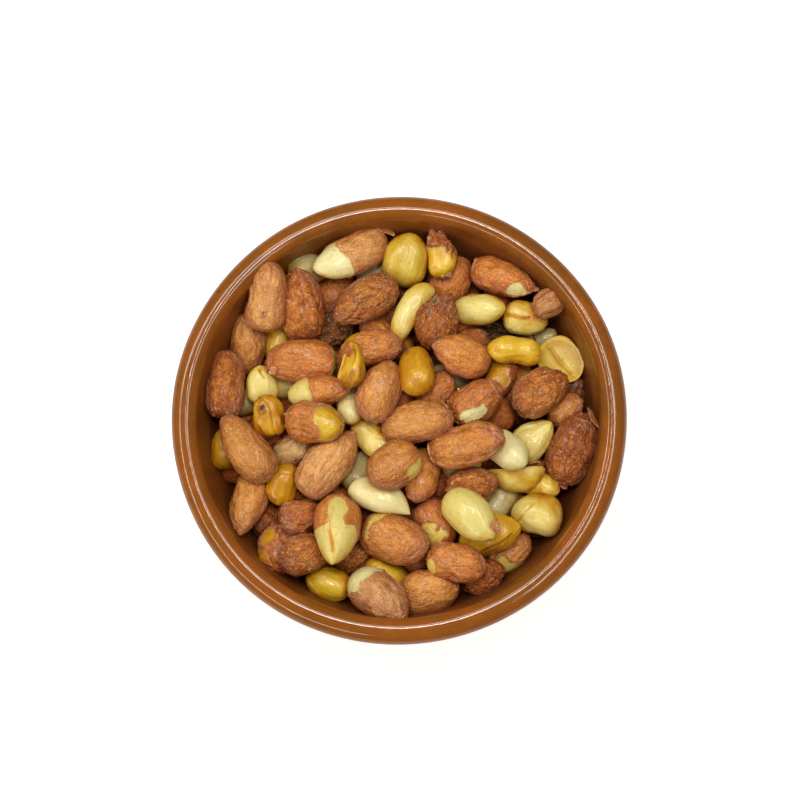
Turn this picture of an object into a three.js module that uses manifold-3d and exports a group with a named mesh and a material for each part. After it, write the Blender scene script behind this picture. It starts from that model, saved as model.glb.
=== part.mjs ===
// A bowl of salted peanuts: a small glazed earthenware bowl, filled to its rim with fried kernels.
// Millimetres, +Z up. The origin is the centre of the bowl's flat base.

import * as THREE from 'three';
import { mergeVertices } from 'three/addons/utils/BufferGeometryUtils.js';
import Module from 'manifold-3d';

// Bowl: a turned body with a full round lip, standing on a low foot.
const rimDiameter = 120;
const bowlHeight = 45;
const lipThickness = 6.8;
const footDiameter = 72;
const footHeight = 2.6;
const footStep = 1.4;
const floorThickness = 6.2;
const outerFullness = 1.7; // 1 is a full belly, more draws the wall in over the foot
const innerFullness = 2.3; // 2 is an ellipse, more squares the wall to the floor
const bowlSegments = 60;
const wallSteps = 10;
const lipSteps = 8;

// Heap: kernels in rings on a domed core, level with the rim at its crown and lower at the wall.
const wallGap = 0.3;
const crownHeight = 45.6;
const shoulderHeight = 37.4;
const crownOffset = new THREE.Vector2(-3.2, 3); // the crown stands a little off the bowl's middle
const kernelLength = 18.5;
const kernelWidth = 11.6;
const kernelDepth = 10.2;
const kernelBuried = 0.58; // share of a kernel's depth that lies below the top of the core
const ringPitch = 11.4;
const ringCount = 4;
const kernelSpacing = 14;
const kernelSides = 8;
const kernelSteps = 5;
const coreSegments = 24;
const coreSteps = 6;

// Small differences from kernel to kernel.
const sizeSpread = 0.13;
const heightSpread = 1.4;
const tiltSpread = 0.26;
const ringTurnSpread = 0.75;
const goldenTurn = Math.PI * (3 - Math.sqrt(5));

const rimRadius = rimDiameter / 2;
const lipRadius = lipThickness / 2;
const lipHeight = bowlHeight - lipRadius; // where both walls turn into the lip
const mouthRadius = rimRadius - lipThickness;
const outermostRing = ringPitch * ringCount;

const wasm = await Module();
wasm.setup();

function pointsAlong(steps, pointAt) {
  return Array.from({ length: steps + 1 }, (_, i) => pointAt(i / steps));
}

// From the foot up to the lip, upright where it meets the lip.
function outerWall(share) {
  const turn = (share * Math.PI) / 2;
  const start = footDiameter / 2 + footStep;
  const radius = start + (rimRadius - start) * Math.sin(turn) ** outerFullness;
  return new THREE.Vector2(radius, lipHeight - (lipHeight - footHeight) * Math.cos(turn));
}

// From the mouth down to the middle of the floor, drawn in by inset all over.
function innerWall(share, inset) {
  const turn = (share * Math.PI) / 2;
  const power = 2 / innerFullness;
  const depth = lipHeight - floorThickness - inset;
  const radius = (mouthRadius - inset) * Math.cos(turn) ** power;
  return new THREE.Vector2(share < 1 ? radius : 0, lipHeight - depth * Math.sin(turn) ** power);
}

function lip(share) {
  const turn = share * Math.PI;
  const middle = rimRadius - lipRadius;
  return new THREE.Vector2(middle + lipRadius * Math.cos(turn), lipHeight + lipRadius * Math.sin(turn));
}

function turned(profile, segments) {
  return new THREE.LatheGeometry(profile, segments).rotateX(Math.PI / 2);
}

// The height that the tops of the kernels reach, at a distance from the crown.
function heapHeight(distance) {
  const rise = crownHeight - shoulderHeight;
  return shoulderHeight + rise * (1 - (distance / outermostRing) ** 2);
}

function solidOf(geometry) {
  const bare = geometry.clone();
  bare.deleteAttribute('normal');
  bare.deleteAttribute('uv');
  const merged = mergeVertices(bare, 1e-4);
  const corners = Array.from(merged.index.array);
  const triangles = [];
  for (let i = 0; i < corners.length; i += 3) {
    const [a, b, c] = corners.slice(i, i + 3);
    if (a !== b && b !== c && c !== a) triangles.push(a, b, c);
  }
  return new wasm.Manifold(new wasm.Mesh({
    numProp: 3,
    vertProperties: new Float32Array(merged.attributes.position.array),
    triVerts: new Uint32Array(triangles),
  }));
}

function geometryOf(solid) {
  const { vertProperties, triVerts } = solid.getMesh();
  const geometry = new THREE.BufferGeometry();
  geometry.setAttribute('position', new THREE.BufferAttribute(vertProperties, 3));
  geometry.setIndex(new THREE.BufferAttribute(triVerts, 1));
  geometry.computeVertexNormals();
  return geometry;
}

function bowlGeometry() {
  const footRadius = footDiameter / 2;
  return turned([
    new THREE.Vector2(0, 0),
    new THREE.Vector2(footRadius, 0),
    new THREE.Vector2(footRadius, footHeight),
    ...pointsAlong(wallSteps, outerWall),
    ...pointsAlong(lipSteps, lip).slice(1, -1),
    ...pointsAlong(wallSteps, (share) => innerWall(share, 0)),
  ], bowlSegments);
}

// The room inside the bowl, clear of its wall by the gap and open upwards over the mouth.
function bowlRoom() {
  const top = crownHeight + kernelDepth;
  return turned([
    ...pointsAlong(wallSteps, (share) => innerWall(1 - share, wallGap)),
    new THREE.Vector2(mouthRadius - wallGap, top),
    new THREE.Vector2(0, top),
  ], bowlSegments);
}

// The middle of the heap, wider and deeper than the bowl's room, which then trims it.
function coreGeometry() {
  const dome = pointsAlong(coreSteps, (share) => {
    const radius = rimRadius * (1 - share);
    return new THREE.Vector2(radius, heapHeight(radius) - kernelDepth * (1 - kernelBuried));
  });
  const profile = [new THREE.Vector2(0, 0), new THREE.Vector2(rimRadius, 0), ...dome];
  return turned(profile, coreSegments).translate(crownOffset.x, crownOffset.y, 0);
}

// One kernel, blunt at one end and narrower at the other, lying along X.
function kernelGeometry(place, height, turn, tilt, size) {
  const outline = pointsAlong(kernelSteps, (share) => {
    const angle = share * Math.PI;
    const radius = Math.sin(angle) ** 0.85 * (1 + 0.14 * Math.cos(angle));
    return new THREE.Vector2(share > 0 && share < 1 ? radius / 2 : 0, -Math.cos(angle) / 2);
  });
  return new THREE.LatheGeometry(outline, kernelSides)
    .scale(kernelWidth * size, kernelLength * size, kernelDepth * size)
    .rotateZ(-Math.PI / 2)
    .rotateY(tilt)
    .rotateZ(turn)
    .translate(place.x, place.y, height);
}

// Kernel number i of the heap, at an angle round the bowl. The outermost ones lie along the wall.
function heapKernel(i, radius, angle) {
  const wave = Math.sin(i * 2.7);
  const isOutermost = radius > outermostRing - ringPitch / 2;
  const turn = isOutermost ? angle + Math.PI / 2 + wave * ringTurnSpread : i * goldenTurn;
  const tilt = Math.sin(i * 4.1 + 1) * tiltSpread;
  const size = 1 + Math.sin(i * 1.9 + 2) * sizeSpread;
  const place = new THREE.Vector2(radius * Math.cos(angle), radius * Math.sin(angle));
  const top = heapHeight(place.distanceTo(crownOffset)) + Math.sin(i * 3.3) * heightSpread;
  return kernelGeometry(place, top - kernelDepth / 2, turn, tilt, size);
}

function heapGeometry() {
  const kernels = [heapKernel(0, 0, 0)];
  for (let ring = 1; ring <= ringCount; ring += 1) {
    const radius = ring * ringPitch;
    const count = Math.round((2 * Math.PI * radius) / kernelSpacing);
    for (let i = 0; i < count; i += 1) {
      const angle = ((i + 0.25 * Math.sin(kernels.length)) / count) * 2 * Math.PI + ring;
      kernels.push(heapKernel(kernels.length, radius, angle));
    }
  }
  const heap = kernels.reduce((sum, kernel) => sum.add(solidOf(kernel)), solidOf(coreGeometry()));
  return geometryOf(heap.intersect(solidOf(bowlRoom())));
}

function piece(name, geometry, color, roughness) {
  const mesh = new THREE.Mesh(geometry, new THREE.MeshStandardMaterial({ color, roughness, metalness: 0 }));
  mesh.name = name;
  return mesh;
}

const group = new THREE.Group();
group.add(piece('bowl', bowlGeometry(), 0x94541f, 0.22));
group.add(piece('peanut_heap', heapGeometry(), 0xc2813c, 0.5));

export default group;
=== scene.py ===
import math

import bpy
import numpy as np
from mathutils import Matrix, Vector


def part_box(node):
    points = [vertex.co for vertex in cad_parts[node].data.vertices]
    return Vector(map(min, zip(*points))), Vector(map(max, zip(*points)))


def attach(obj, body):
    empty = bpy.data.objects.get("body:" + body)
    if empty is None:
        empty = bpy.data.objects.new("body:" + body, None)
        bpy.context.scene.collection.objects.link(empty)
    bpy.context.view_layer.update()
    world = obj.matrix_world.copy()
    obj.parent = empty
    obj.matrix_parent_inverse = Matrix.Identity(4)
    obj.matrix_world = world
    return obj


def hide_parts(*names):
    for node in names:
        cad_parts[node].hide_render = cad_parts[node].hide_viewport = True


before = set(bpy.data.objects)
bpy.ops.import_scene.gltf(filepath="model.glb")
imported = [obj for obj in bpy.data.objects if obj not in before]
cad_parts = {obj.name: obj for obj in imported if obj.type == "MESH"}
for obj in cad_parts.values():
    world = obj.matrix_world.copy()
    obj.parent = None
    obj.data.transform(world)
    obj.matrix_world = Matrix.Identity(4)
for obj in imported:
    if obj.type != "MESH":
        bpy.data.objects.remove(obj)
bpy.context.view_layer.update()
mm = 0.001  # shapes are worked out in millimetres, and meshes are made in metres
fullTurn = 6.28  # radians, for waves that start anywhere

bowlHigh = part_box("bowl")[1]
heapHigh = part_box("peanut_heap")[1]
rimRadius = bowlHigh.x / mm
bowlHeight = bowlHigh.z / mm
print(f"frame read: the bowl is {bowlHeight:.1f} mm high, and its heap reaches {heapHigh.z / mm:.1f} mm")

# the camera looks from above, a little from the front and the right
cameraValues = {
    "elevation": 79.5,  # degrees above the table
    "azimuth": 11.0,  # degrees to the right of the front
    "distance": 380.0,  # mm from the middle of the rim
    "lens": 65.4,
    "pictureMiddle": (0.6, 3.3),  # mm right and up from the middle of the rim, as seen
    "outlineMiddle": (-0.1, -5.5),  # mm from the picture's middle to the middle of the bowl's outline
}


def cameraAxes():
    elevation = math.radians(cameraValues["elevation"])
    azimuth = math.radians(cameraValues["azimuth"])
    back = Vector((
        math.sin(azimuth) * math.cos(elevation),
        -math.cos(azimuth) * math.cos(elevation),
        math.sin(elevation),
    ))
    right = Vector((0, 1, 0)).cross(back).normalized()
    return right, back.cross(right), back


seenRight, seenUp, seenBack = cameraAxes()


def pictureAim():
    x, y = cameraValues["pictureMiddle"]
    return Vector((0, 0, bowlHeight)) + seenRight * x + seenUp * y


def makeCamera():
    data = bpy.data.cameras.new("camera")
    data.lens = cameraValues["lens"]
    data.sensor_width = 36
    data.clip_start = 0.01
    camera = bpy.data.objects.new("camera", data)
    place = pictureAim() + seenBack * cameraValues["distance"]
    turn = Matrix((seenRight, seenUp, seenBack)).transposed().to_4x4()
    camera.matrix_world = Matrix.Translation(place * mm) @ turn
    bpy.context.scene.collection.objects.link(camera)
    bpy.context.scene.camera = camera


def sightPlaces(seen, heights):
    # where the sight lines through places in the picture, in mm from the outline's middle, reach heights
    aim = pictureAim()
    eye = np.array(aim + seenBack * cameraValues["distance"])
    offset = seen + np.array(cameraValues["outlineMiddle"])
    plane = np.array(aim) + offset[:, :1] * np.array(seenRight) + offset[:, 1:] * np.array(seenUp)
    way = plane - eye
    share = (heights - eye[2]) / way[:, 2]
    return eye + way * share[:, None]


def pictureOf(points):
    # where points show in the picture, in mm from the outline's middle
    distance = cameraValues["distance"]
    away = points - np.array(pictureAim() + seenBack * distance)
    scale = -distance / (away @ np.array(seenBack))
    across = away @ np.array(seenRight) * scale
    upward = away @ np.array(seenUp) * scale
    return np.stack([across, upward], -1) - np.array(cameraValues["outlineMiddle"])


makeCamera()
print("camera placed")


# helpers for meshes; all shapes are in mm

def softNoise(points, size, chance, count=9):
    # waves in random directions, about -1 to 1, with features of the given size
    total = np.zeros(len(points))
    for _ in range(count):
        direction = chance.normal(size=3)
        direction /= np.linalg.norm(direction)
        pitch = 2 * math.pi / (size * chance.uniform(1.3, 2.6))
        total += np.sin(points @ direction * pitch + chance.uniform(0, 2 * math.pi))
    return total / math.sqrt(count)


def smoothStep(value, low, high):
    share = np.clip((value - low) / (high - low), 0, 1)
    return share * share * (3 - 2 * share)


def gridFaces(rows, columns, firstPole, lastPole):
    # faces of a closed grid of rings, with a point at each end
    faces = []
    for row in range(rows - 1):
        for column in range(columns):
            after = (column + 1) % columns
            faces.append((
                row * columns + column,
                row * columns + after,
                (row + 1) * columns + after,
                (row + 1) * columns + column,
            ))
    last = (rows - 1) * columns
    for column in range(columns):
        after = (column + 1) % columns
        faces.append((firstPole, after, column))
        faces.append((lastPole, last + column, last + after))
    return faces


attributeKinds = {1: ("FLOAT", "value"), 3: ("FLOAT_VECTOR", "vector"), 4: ("FLOAT_COLOR", "color")}


def makeMesh(name, points, faces, material, attributes=None):
    # attributes hold one value, three or four for each point
    mesh = bpy.data.meshes.new(name)
    mesh.from_pydata((points * mm).tolist(), [], faces)
    mesh.polygons.foreach_set("use_smooth", [True] * len(mesh.polygons))
    mesh.materials.append(material)
    for key, values in (attributes or {}).items():
        kind, slot = attributeKinds[1 if values.ndim == 1 else values.shape[1]]
        attribute = mesh.attributes.new(key, kind, "POINT")
        attribute.data.foreach_set(slot, values.astype(np.float32).ravel())
    mesh.validate()
    piece = bpy.data.objects.new(name, mesh)
    bpy.context.scene.collection.objects.link(piece)
    return piece


def partOfHeap(piece):
    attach(piece, "root")
    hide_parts("peanut_heap")
    print(piece.name, len(piece.data.polygons), "faces")


class Gathered:
    # several closed shapes that become one piece
    def __init__(self):
        self.points = []
        self.faces = []
        self.values = {}
        self.count = 0

    def add(self, points, faces, values):
        self.points.append(points)
        self.faces += [tuple(corner + self.count for corner in face) for face in faces]
        for key, value in values.items():
            self.values.setdefault(key, []).append(value)
        self.count += len(points)

    def make(self, name, material):
        values = {key: np.concatenate(parts) for key, parts in self.values.items()}
        return makeMesh(name, np.concatenate(self.points), self.faces, material, values)


# helpers for materials; tree is the node tree of a material or of a group

def connect(tree, value, socket):
    if isinstance(value, bpy.types.NodeSocket):
        tree.links.new(value, socket)
    elif value is not None:
        socket.default_value = value


def fill(tree, sockets, values):
    for name, value in values.items():
        connect(tree, value, sockets[name])


def addNode(tree, kind, inputs=None, **settings):
    made = tree.nodes.new("ShaderNode" + kind)
    for name, value in settings.items():
        setattr(made, name, value)
    fill(tree, made.inputs, inputs or {})
    return made


def mathNode(tree, operation, *values):
    made = addNode(tree, "Math", operation=operation)
    for socket, value in zip(made.inputs, values):
        connect(tree, value, socket)
    return made.outputs[0]


def plus(tree, total, *values):
    for value in values:
        total = mathNode(tree, "ADD", total, value)
    return total


def times(tree, product, *values):
    for value in values:
        product = mathNode(tree, "MULTIPLY", product, value)
    return product


def oneMinus(tree, value):
    return mathNode(tree, "SUBTRACT", 1.0, value)


def centred(tree, noise):
    # noise about 0 instead of about a half
    return mathNode(tree, "SUBTRACT", noise, 0.5)


def rangeNode(tree, value, low, high, toLow=0.0, toHigh=1.0):
    inputs = {"Value": value, "From Min": low, "From Max": high, "To Min": toLow, "To Max": toHigh}
    return addNode(tree, "MapRange", inputs, interpolation_type="SMOOTHSTEP").outputs[0]


def mixColor(tree, factor, first, second, blend="MIX"):
    made = addNode(tree, "Mix", data_type="RGBA", blend_type=blend)
    fill(tree, made.inputs, {0: factor, 6: first, 7: second})
    return made.outputs[2]


def toned(tree, color, tone):
    return mixColor(tree, 1.0, color, tone, "MULTIPLY")


def laidOver(tree, color, layer, mask, strength=None):
    # a layer of another color where the mask is 1, as strong as said
    factor = mask if strength is None else times(tree, mask, strength)
    return mixColor(tree, factor, color, layer)


def noiseNode(tree, vector, scale, detail=2.0, roughness=0.5, distortion=0.0):
    inputs = {
        "Vector": vector, "Scale": scale, "Detail": detail, "Roughness": roughness, "Distortion": distortion,
    }
    return addNode(tree, "TexNoise", inputs).outputs[0]


def cellNode(tree, vector, scale):
    # how far a place is from the middle of its cell, and the cell's color
    cells = addNode(tree, "TexVoronoi", {"Vector": vector, "Scale": scale, "Randomness": 1.0})
    return cells.outputs["Distance"], cells.outputs["Color"]


def chosenCells(tree, color, limit):
    # 1 in the cells whose random value is over the limit
    pick = addNode(tree, "SeparateColor", {"Color": color}).outputs[0]
    return mathNode(tree, "GREATER_THAN", pick, limit)


def pointValue(tree, name, kind="Fac"):
    # what the mesh holds at each point
    return addNode(tree, "Attribute", attribute_type="GEOMETRY", attribute_name=name).outputs[kind]


def stretched(tree, vector, stretch):
    return addNode(tree, "VectorMath", {0: vector, 1: stretch}, operation="MULTIPLY").outputs[0]


def newGroup(name, inputs, outputs):
    # inputs are (name, kind, value), and outputs are the names of values
    kinds = {"value": "NodeSocketFloat", "vector": "NodeSocketVector"}
    group = bpy.data.node_groups.new(name, "ShaderNodeTree")
    for label, kind, value in inputs:
        socket = group.interface.new_socket(label, in_out="INPUT", socket_type=kinds[kind])
        if value is not None:
            socket.default_value = value
    for label in outputs:
        group.interface.new_socket(label, in_out="OUTPUT", socket_type=kinds["value"])
    entry = group.nodes.new("NodeGroupInput").outputs
    leave = group.nodes.new("NodeGroupOutput").inputs
    return group, entry, leave


def placeGroup(tree, group, inputs):
    return addNode(tree, "Group", inputs, node_tree=group).outputs


def newMaterial(name, shader):
    # shader holds what is the same all over the surface
    material = bpy.data.materials.new(name)
    material.use_nodes = True
    tree = material.node_tree
    surface = tree.nodes["Principled BSDF"]
    fill(tree, surface.inputs, shader)
    return material, tree, surface


def addBump(tree, surface, height, distance):
    # distance is how many mm a height of 1 stands up
    bump = addNode(tree, "Bump", {"Height": height, "Distance": distance * mm, "Strength": 1.0})
    connect(tree, bump.outputs[0], surface.inputs["Normal"])


# node groups that several finishes share; scales are per mm

def makeSkinVeins():
    # the papery skin's lengthwise veins, broad and fine mottling, and fine wrinkles
    group, entry, leave = newGroup(
        "skin veins",
        [("Place", "vector", None), ("Stretch", "vector", (0.42, 1, 1)), ("Vein Size", "value", 1.5)],
        ["Veins", "Mottle", "Flecks", "Drift", "Blotch", "Height"],
    )
    place = entry["Place"]
    scale = mathNode(group, "DIVIDE", 1.0, entry["Vein Size"])
    lengthwise = noiseNode(group, stretched(group, place, entry["Stretch"]), scale, 3.0, 0.55, 0.35)
    ridge = mathNode(group, "ABSOLUTE", centred(group, lengthwise))
    crossed = noiseNode(group, place, times(group, scale, 0.9), 3.0, 0.6, 0.4)
    crackle = mathNode(group, "ABSOLUTE", centred(group, crossed))
    distance, _ = cellNode(group, stretched(group, place, (0.45, 1, 1)), 1.0)
    pores = rangeNode(group, distance, 0.06, 0.24, 0.9, 0.0)
    veins = mathNode(group, "MAXIMUM", rangeNode(group, ridge, 0.0, 0.06, 1.0, 0.0),
                     rangeNode(group, crackle, 0.0, 0.035, 0.75, 0.0))
    coarse = noiseNode(group, stretched(group, place, (0.7, 1, 1)), 0.75, 4.0, 0.68, 0.5)
    height = plus(
        group,
        times(group, rangeNode(group, ridge, 0.0, 0.16), 0.5),
        times(group, rangeNode(group, crackle, 0.0, 0.10), 0.3),
        times(group, noiseNode(group, place, 1.9, 3.0, 0.65), 0.7),
        times(group, coarse, 0.5),
        times(group, pores, -0.25),
    )
    fill(group, leave, {
        "Veins": mathNode(group, "MAXIMUM", veins, pores),
        "Mottle": rangeNode(group, noiseNode(group, place, 0.38, 5.0, 0.66, 0.3), 0.38, 0.62),
        "Flecks": rangeNode(group, noiseNode(group, place, 1.3, 3.0, 0.7), 0.54, 0.66),
        "Drift": rangeNode(group, noiseNode(group, place, 0.13, 3.0, 0.55, 0.5), 0.36, 0.64),
        "Blotch": rangeNode(group, coarse, 0.44, 0.58),
        "Height": height,
    })
    return group


def makeSaltDust():
    # a film of fine salt: small pale specks, closer together in some patches
    group, entry, leave = newGroup(
        "salt dust",
        [("Place", "vector", None), ("Amount", "value", 0.3), ("Grain Size", "value", 0.45)],
        ["Specks"],
    )
    distance, color = cellNode(group, entry["Place"], mathNode(group, "DIVIDE", 1.0, entry["Grain Size"]))
    patch = rangeNode(group, noiseNode(group, entry["Place"], 0.28, 2.0), 0.35, 0.65, 0.1, 1.0)
    chosen = chosenCells(group, color, oneMinus(group, times(group, entry["Amount"], patch)))
    fill(group, leave, {"Specks": times(group, chosen, rangeNode(group, distance, 0.18, 0.42, 1.0, 0.0))})
    return group


def makeTornEdge():
    # where the skin ends: a ragged edge worked out from the distance to it, with a thin pale lip
    group, entry, leave = newGroup(
        "torn edge",
        [("Skin Field", "value", 1.0), ("Place", "vector", None), ("Ragged", "value", 0.5)],
        ["Skin", "Lip"],
    )
    wander = centred(group, noiseNode(group, entry["Place"], 1.1, 4.0, 0.65))
    field = plus(group, entry["Skin Field"], times(group, wander, entry["Ragged"], 4.0))
    fill(group, leave, {
        "Skin": rangeNode(group, field, -0.06, 0.06),
        "Lip": rangeNode(group, mathNode(group, "ABSOLUTE", field), 0.02, 0.22, 1.0, 0.0),
    })
    return group


def makeToastAndShade():
    # how the oil browns bare flesh: deeper gold towards edges and ends, with small pits; the Toast it is
    # given also carries painted shade towards the sides and ends
    group, entry, leave = newGroup(
        "toast mottle",
        [("Place", "vector", None), ("Toast", "value", 0.0), ("Seam", "value", 9.0)],
        ["Edge", "Gold", "Brown", "Pits", "Height"],
    )
    place = entry["Place"]
    cloud = noiseNode(group, place, 0.20, 3.0, 0.6, 0.3)
    streak = noiseNode(group, stretched(group, place, (0.35, 1, 1)), 0.7, 4.0, 0.65, 0.4)
    # the more a kernel is toasted, the more its color wanders
    wander = plus(group, times(group, entry["Toast"], 1.4), 1.9)
    gold = plus(
        group,
        entry["Toast"],
        times(group, centred(group, cloud), wander),
        times(group, centred(group, streak), 1.1),
        times(group, rangeNode(group, entry["Seam"], 0.1, 1.2, 1.0, 0.0), 0.75),
    )
    line = rangeNode(group, entry["Seam"], 0.03, 0.16, 0.9, 0.0)
    distance, _ = cellNode(group, place, 0.55)
    pits = rangeNode(group, distance, 0.05, 0.16, 1.0, 0.0)
    fill(group, leave, {
        "Edge": rangeNode(group, gold, -0.1, 0.7, 0.0, 0.9),
        "Gold": rangeNode(group, gold, 0.45, 1.25),
        "Brown": mathNode(group, "MAXIMUM", line, rangeNode(group, gold, 1.10, 1.60)),
        "Pits": pits,
        "Height": plus(group, noiseNode(group, place, 1.3, 4.0, 0.55), streak, times(group, pits, -0.5)),
    })
    return group


skinVeins = makeSkinVeins()
saltDust = makeSaltDust()
tornEdge = makeTornEdge()
toastAndShade = makeToastAndShade()
print("shared groups made")

# finishes of the kernels: how strong each effect is on each sort of skin, with relief in mm; the darkening to
# the edges and beside the neighbours is painted shade
skinValues = {
    "tan": {
        "veinSize": 2.0, "veinDark": 0.42, "mottleDark": 0.36, "sideShadeDark": 0.8, "blotchDark": 0.22,
        "fleckLight": 0.60, "contactShadeDark": 0.55, "relief": 0.34, "oil": 0.45,
    },
    "dark": {
        "veinSize": 1.6, "veinDark": 0.55, "mottleDark": 0.50, "sideShadeDark": 0.8, "blotchDark": 0.55,
        "fleckLight": 0.75, "contactShadeDark": 0.6, "relief": 0.50, "oil": 0.5,
    },
    # the kernels under the ones that show: darker all over, painted shade
    "under": {
        "veinSize": 1.6, "veinDark": 0.60, "mottleDark": 0.85, "sideShadeDark": 1.2, "blotchDark": 0.5,
        "fleckLight": 0.1, "contactShadeDark": 0.5, "relief": 0.40, "oil": 0.1,
    },
}
finishValues = {
    "fleshRelief": 0.14,  # mm
    "scrapRelief": 0.16,
    "torn": 0.3,  # how ragged the skin's edge is
    "goldenOil": 0.45,  # how much of a glossy coat the fattest places have
    "splitOil": 0.1,
    "fleshOil": 0.6,
}
finishColors = {
    "redder": (0.92, 0.68, 0.50, 1),  # tones that a skin's tint is multiplied by
    # painted light: the lighter top of a kernel
    "litTop": (1.04, 1.05, 0.98, 1),
    # the darker tone, for painted shade and for the skin's own mottle, veins and creases
    "deep": (0.46, 0.31, 0.17, 1),
    "fleck": (1.0, 0.64, 0.24, 1),
    # painted sheen towards the sides of a skin
    "sideSheen": (0.70, 0.36, 0.20, 1),
    "gold": (0.62, 0.30, 0.005, 1),
    "brown": (0.34, 0.12, 0.004, 1),
    "pit": (0.36, 0.24, 0.05, 1),
    "warmShadow": (0.76, 0.52, 0.18, 1),
    "salt": (1.0, 0.80, 0.56, 1),
    "tornLip": (0.88, 0.58, 0.28, 1),
    "scrapRim": (0.80, 0.48, 0.27, 1),
}


def skinColor(tree, place, values):
    # each kernel's tint, blotched and veined, with painted light and shade: lighter in the middle, where its
    # top faces the light, redder and darker to the sides and beside its neighbours
    colors = finishColors
    veins = placeGroup(tree, skinVeins, {"Place": place, "Vein Size": values["veinSize"]})
    tint = pointValue(tree, "skinTint", "Color")
    shade = pointValue(tree, "shade")
    ground = mixColor(tree, veins["Drift"], toned(tree, tint, colors["redder"]), tint)
    # painted light: the top of the kernel, in the middle as seen, lighter
    middle = rangeNode(tree, shade, 0.0, 0.35, 0.85, 0.0)
    ground = laidOver(tree, ground, toned(tree, tint, colors["litTop"]), middle)
    deep = toned(tree, ground, colors["deep"])
    # painted shade towards the sides and beside the neighbours, with the skin's own mottle and blotches
    darkness = plus(
        tree,
        times(tree, shade, values["sideShadeDark"]),
        times(tree, pointValue(tree, "contactShade"), values["contactShadeDark"]),
        times(tree, veins["Mottle"], values["mottleDark"]),
        times(tree, veins["Blotch"], values["blotchDark"]),
    )
    color = laidOver(tree, ground, deep, darkness)
    # painted sheen: a pink tint, here and there towards the sides, where the oily skin shines
    sideSheen = times(tree, rangeNode(tree, shade, 0.1, 0.5), rangeNode(tree, veins["Drift"], 0.2, 0.9, 0.4, 0.0))
    color = laidOver(tree, color, colors["sideSheen"], sideSheen)
    light = mixColor(tree, 0.55, ground, colors["fleck"])
    color = laidOver(tree, color, light, veins["Flecks"], values["fleckLight"])
    color = laidOver(tree, color, deep, veins["Veins"], values["veinDark"])
    creased = rangeNode(tree, pointValue(tree, "seam"), 0.1, 0.7, 0.75, 0.0)
    return laidOver(tree, color, deep, creased), veins["Height"], veins["Mottle"]


def fleshColor(tree, place):
    # each kernel's tint, then the deeper color of its edges, amber where the oil toasted it, and brown; the
    # deeper color towards its sides and ends is partly painted shade, and it is painted darker in shade
    # beside its neighbours
    colors = finishColors
    inputs = {"Place": place, "Toast": pointValue(tree, "toast"), "Seam": pointValue(tree, "seam")}
    mottle = placeGroup(tree, toastAndShade, inputs)
    color = pointValue(tree, "fleshTint", "Color")
    color = laidOver(tree, color, pointValue(tree, "edgeTint", "Color"), mottle["Edge"])
    color = laidOver(tree, color, colors["gold"], mottle["Gold"])
    color = laidOver(tree, color, colors["brown"], mottle["Brown"], 0.85)
    color = laidOver(tree, color, colors["pit"], mottle["Pits"], 0.4)
    # painted shade where the kernel lies against its neighbours
    shadowed = toned(tree, color, colors["warmShadow"])
    return laidOver(tree, color, shadowed, pointValue(tree, "contactShade"), 0.5), mottle["Height"]


def salted(tree, place, color):
    # the color with specks of salt over it, and the specks for the relief
    specks = placeGroup(tree, saltDust, {"Place": place, "Amount": pointValue(tree, "salty")})["Specks"]
    return laidOver(tree, color, finishColors["salt"], specks, 0.5), specks


def makeSkinMaterial(name, kind):
    values = skinValues[kind]
    material, tree, surface = newMaterial(name, {"Coat Roughness": 0.22, "Specular IOR Level": 0.4})
    place = pointValue(tree, "place", "Vector")
    color, height, mottle = skinColor(tree, place, values)
    color, specks = salted(tree, place, color)
    fill(tree, surface.inputs, {
        "Base Color": color,
        "Roughness": rangeNode(tree, mottle, 0, 1, 0.48, 0.30),
        "Coat Weight": rangeNode(tree, mottle, 0.2, 1, 0.0, values["oil"]),
    })
    addBump(tree, surface, plus(tree, height, times(tree, specks, 0.3)), values["relief"])
    return material


def makeFleshMaterial(name, oil):
    material, tree, surface = newMaterial(name, {
        "Subsurface Weight": 0.1, "Subsurface Scale": 0.0012, "Subsurface Radius": (1.0, 0.7, 0.3),
        "Coat Roughness": 0.14, "Specular IOR Level": 0.5,
    })
    place = pointValue(tree, "place", "Vector")
    color, height = fleshColor(tree, place)
    color, specks = salted(tree, place, color)
    fill(tree, surface.inputs, {
        "Base Color": color,
        "Roughness": rangeNode(tree, height, 0.7, 1.2, 0.30, 0.42),
        "Coat Weight": rangeNode(tree, height, 0.7, 1.2, 0.4 * oil, oil),
    })
    addBump(tree, surface, plus(tree, height, times(tree, specks, 0.3)), finishValues["fleshRelief"])
    return material


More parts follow.
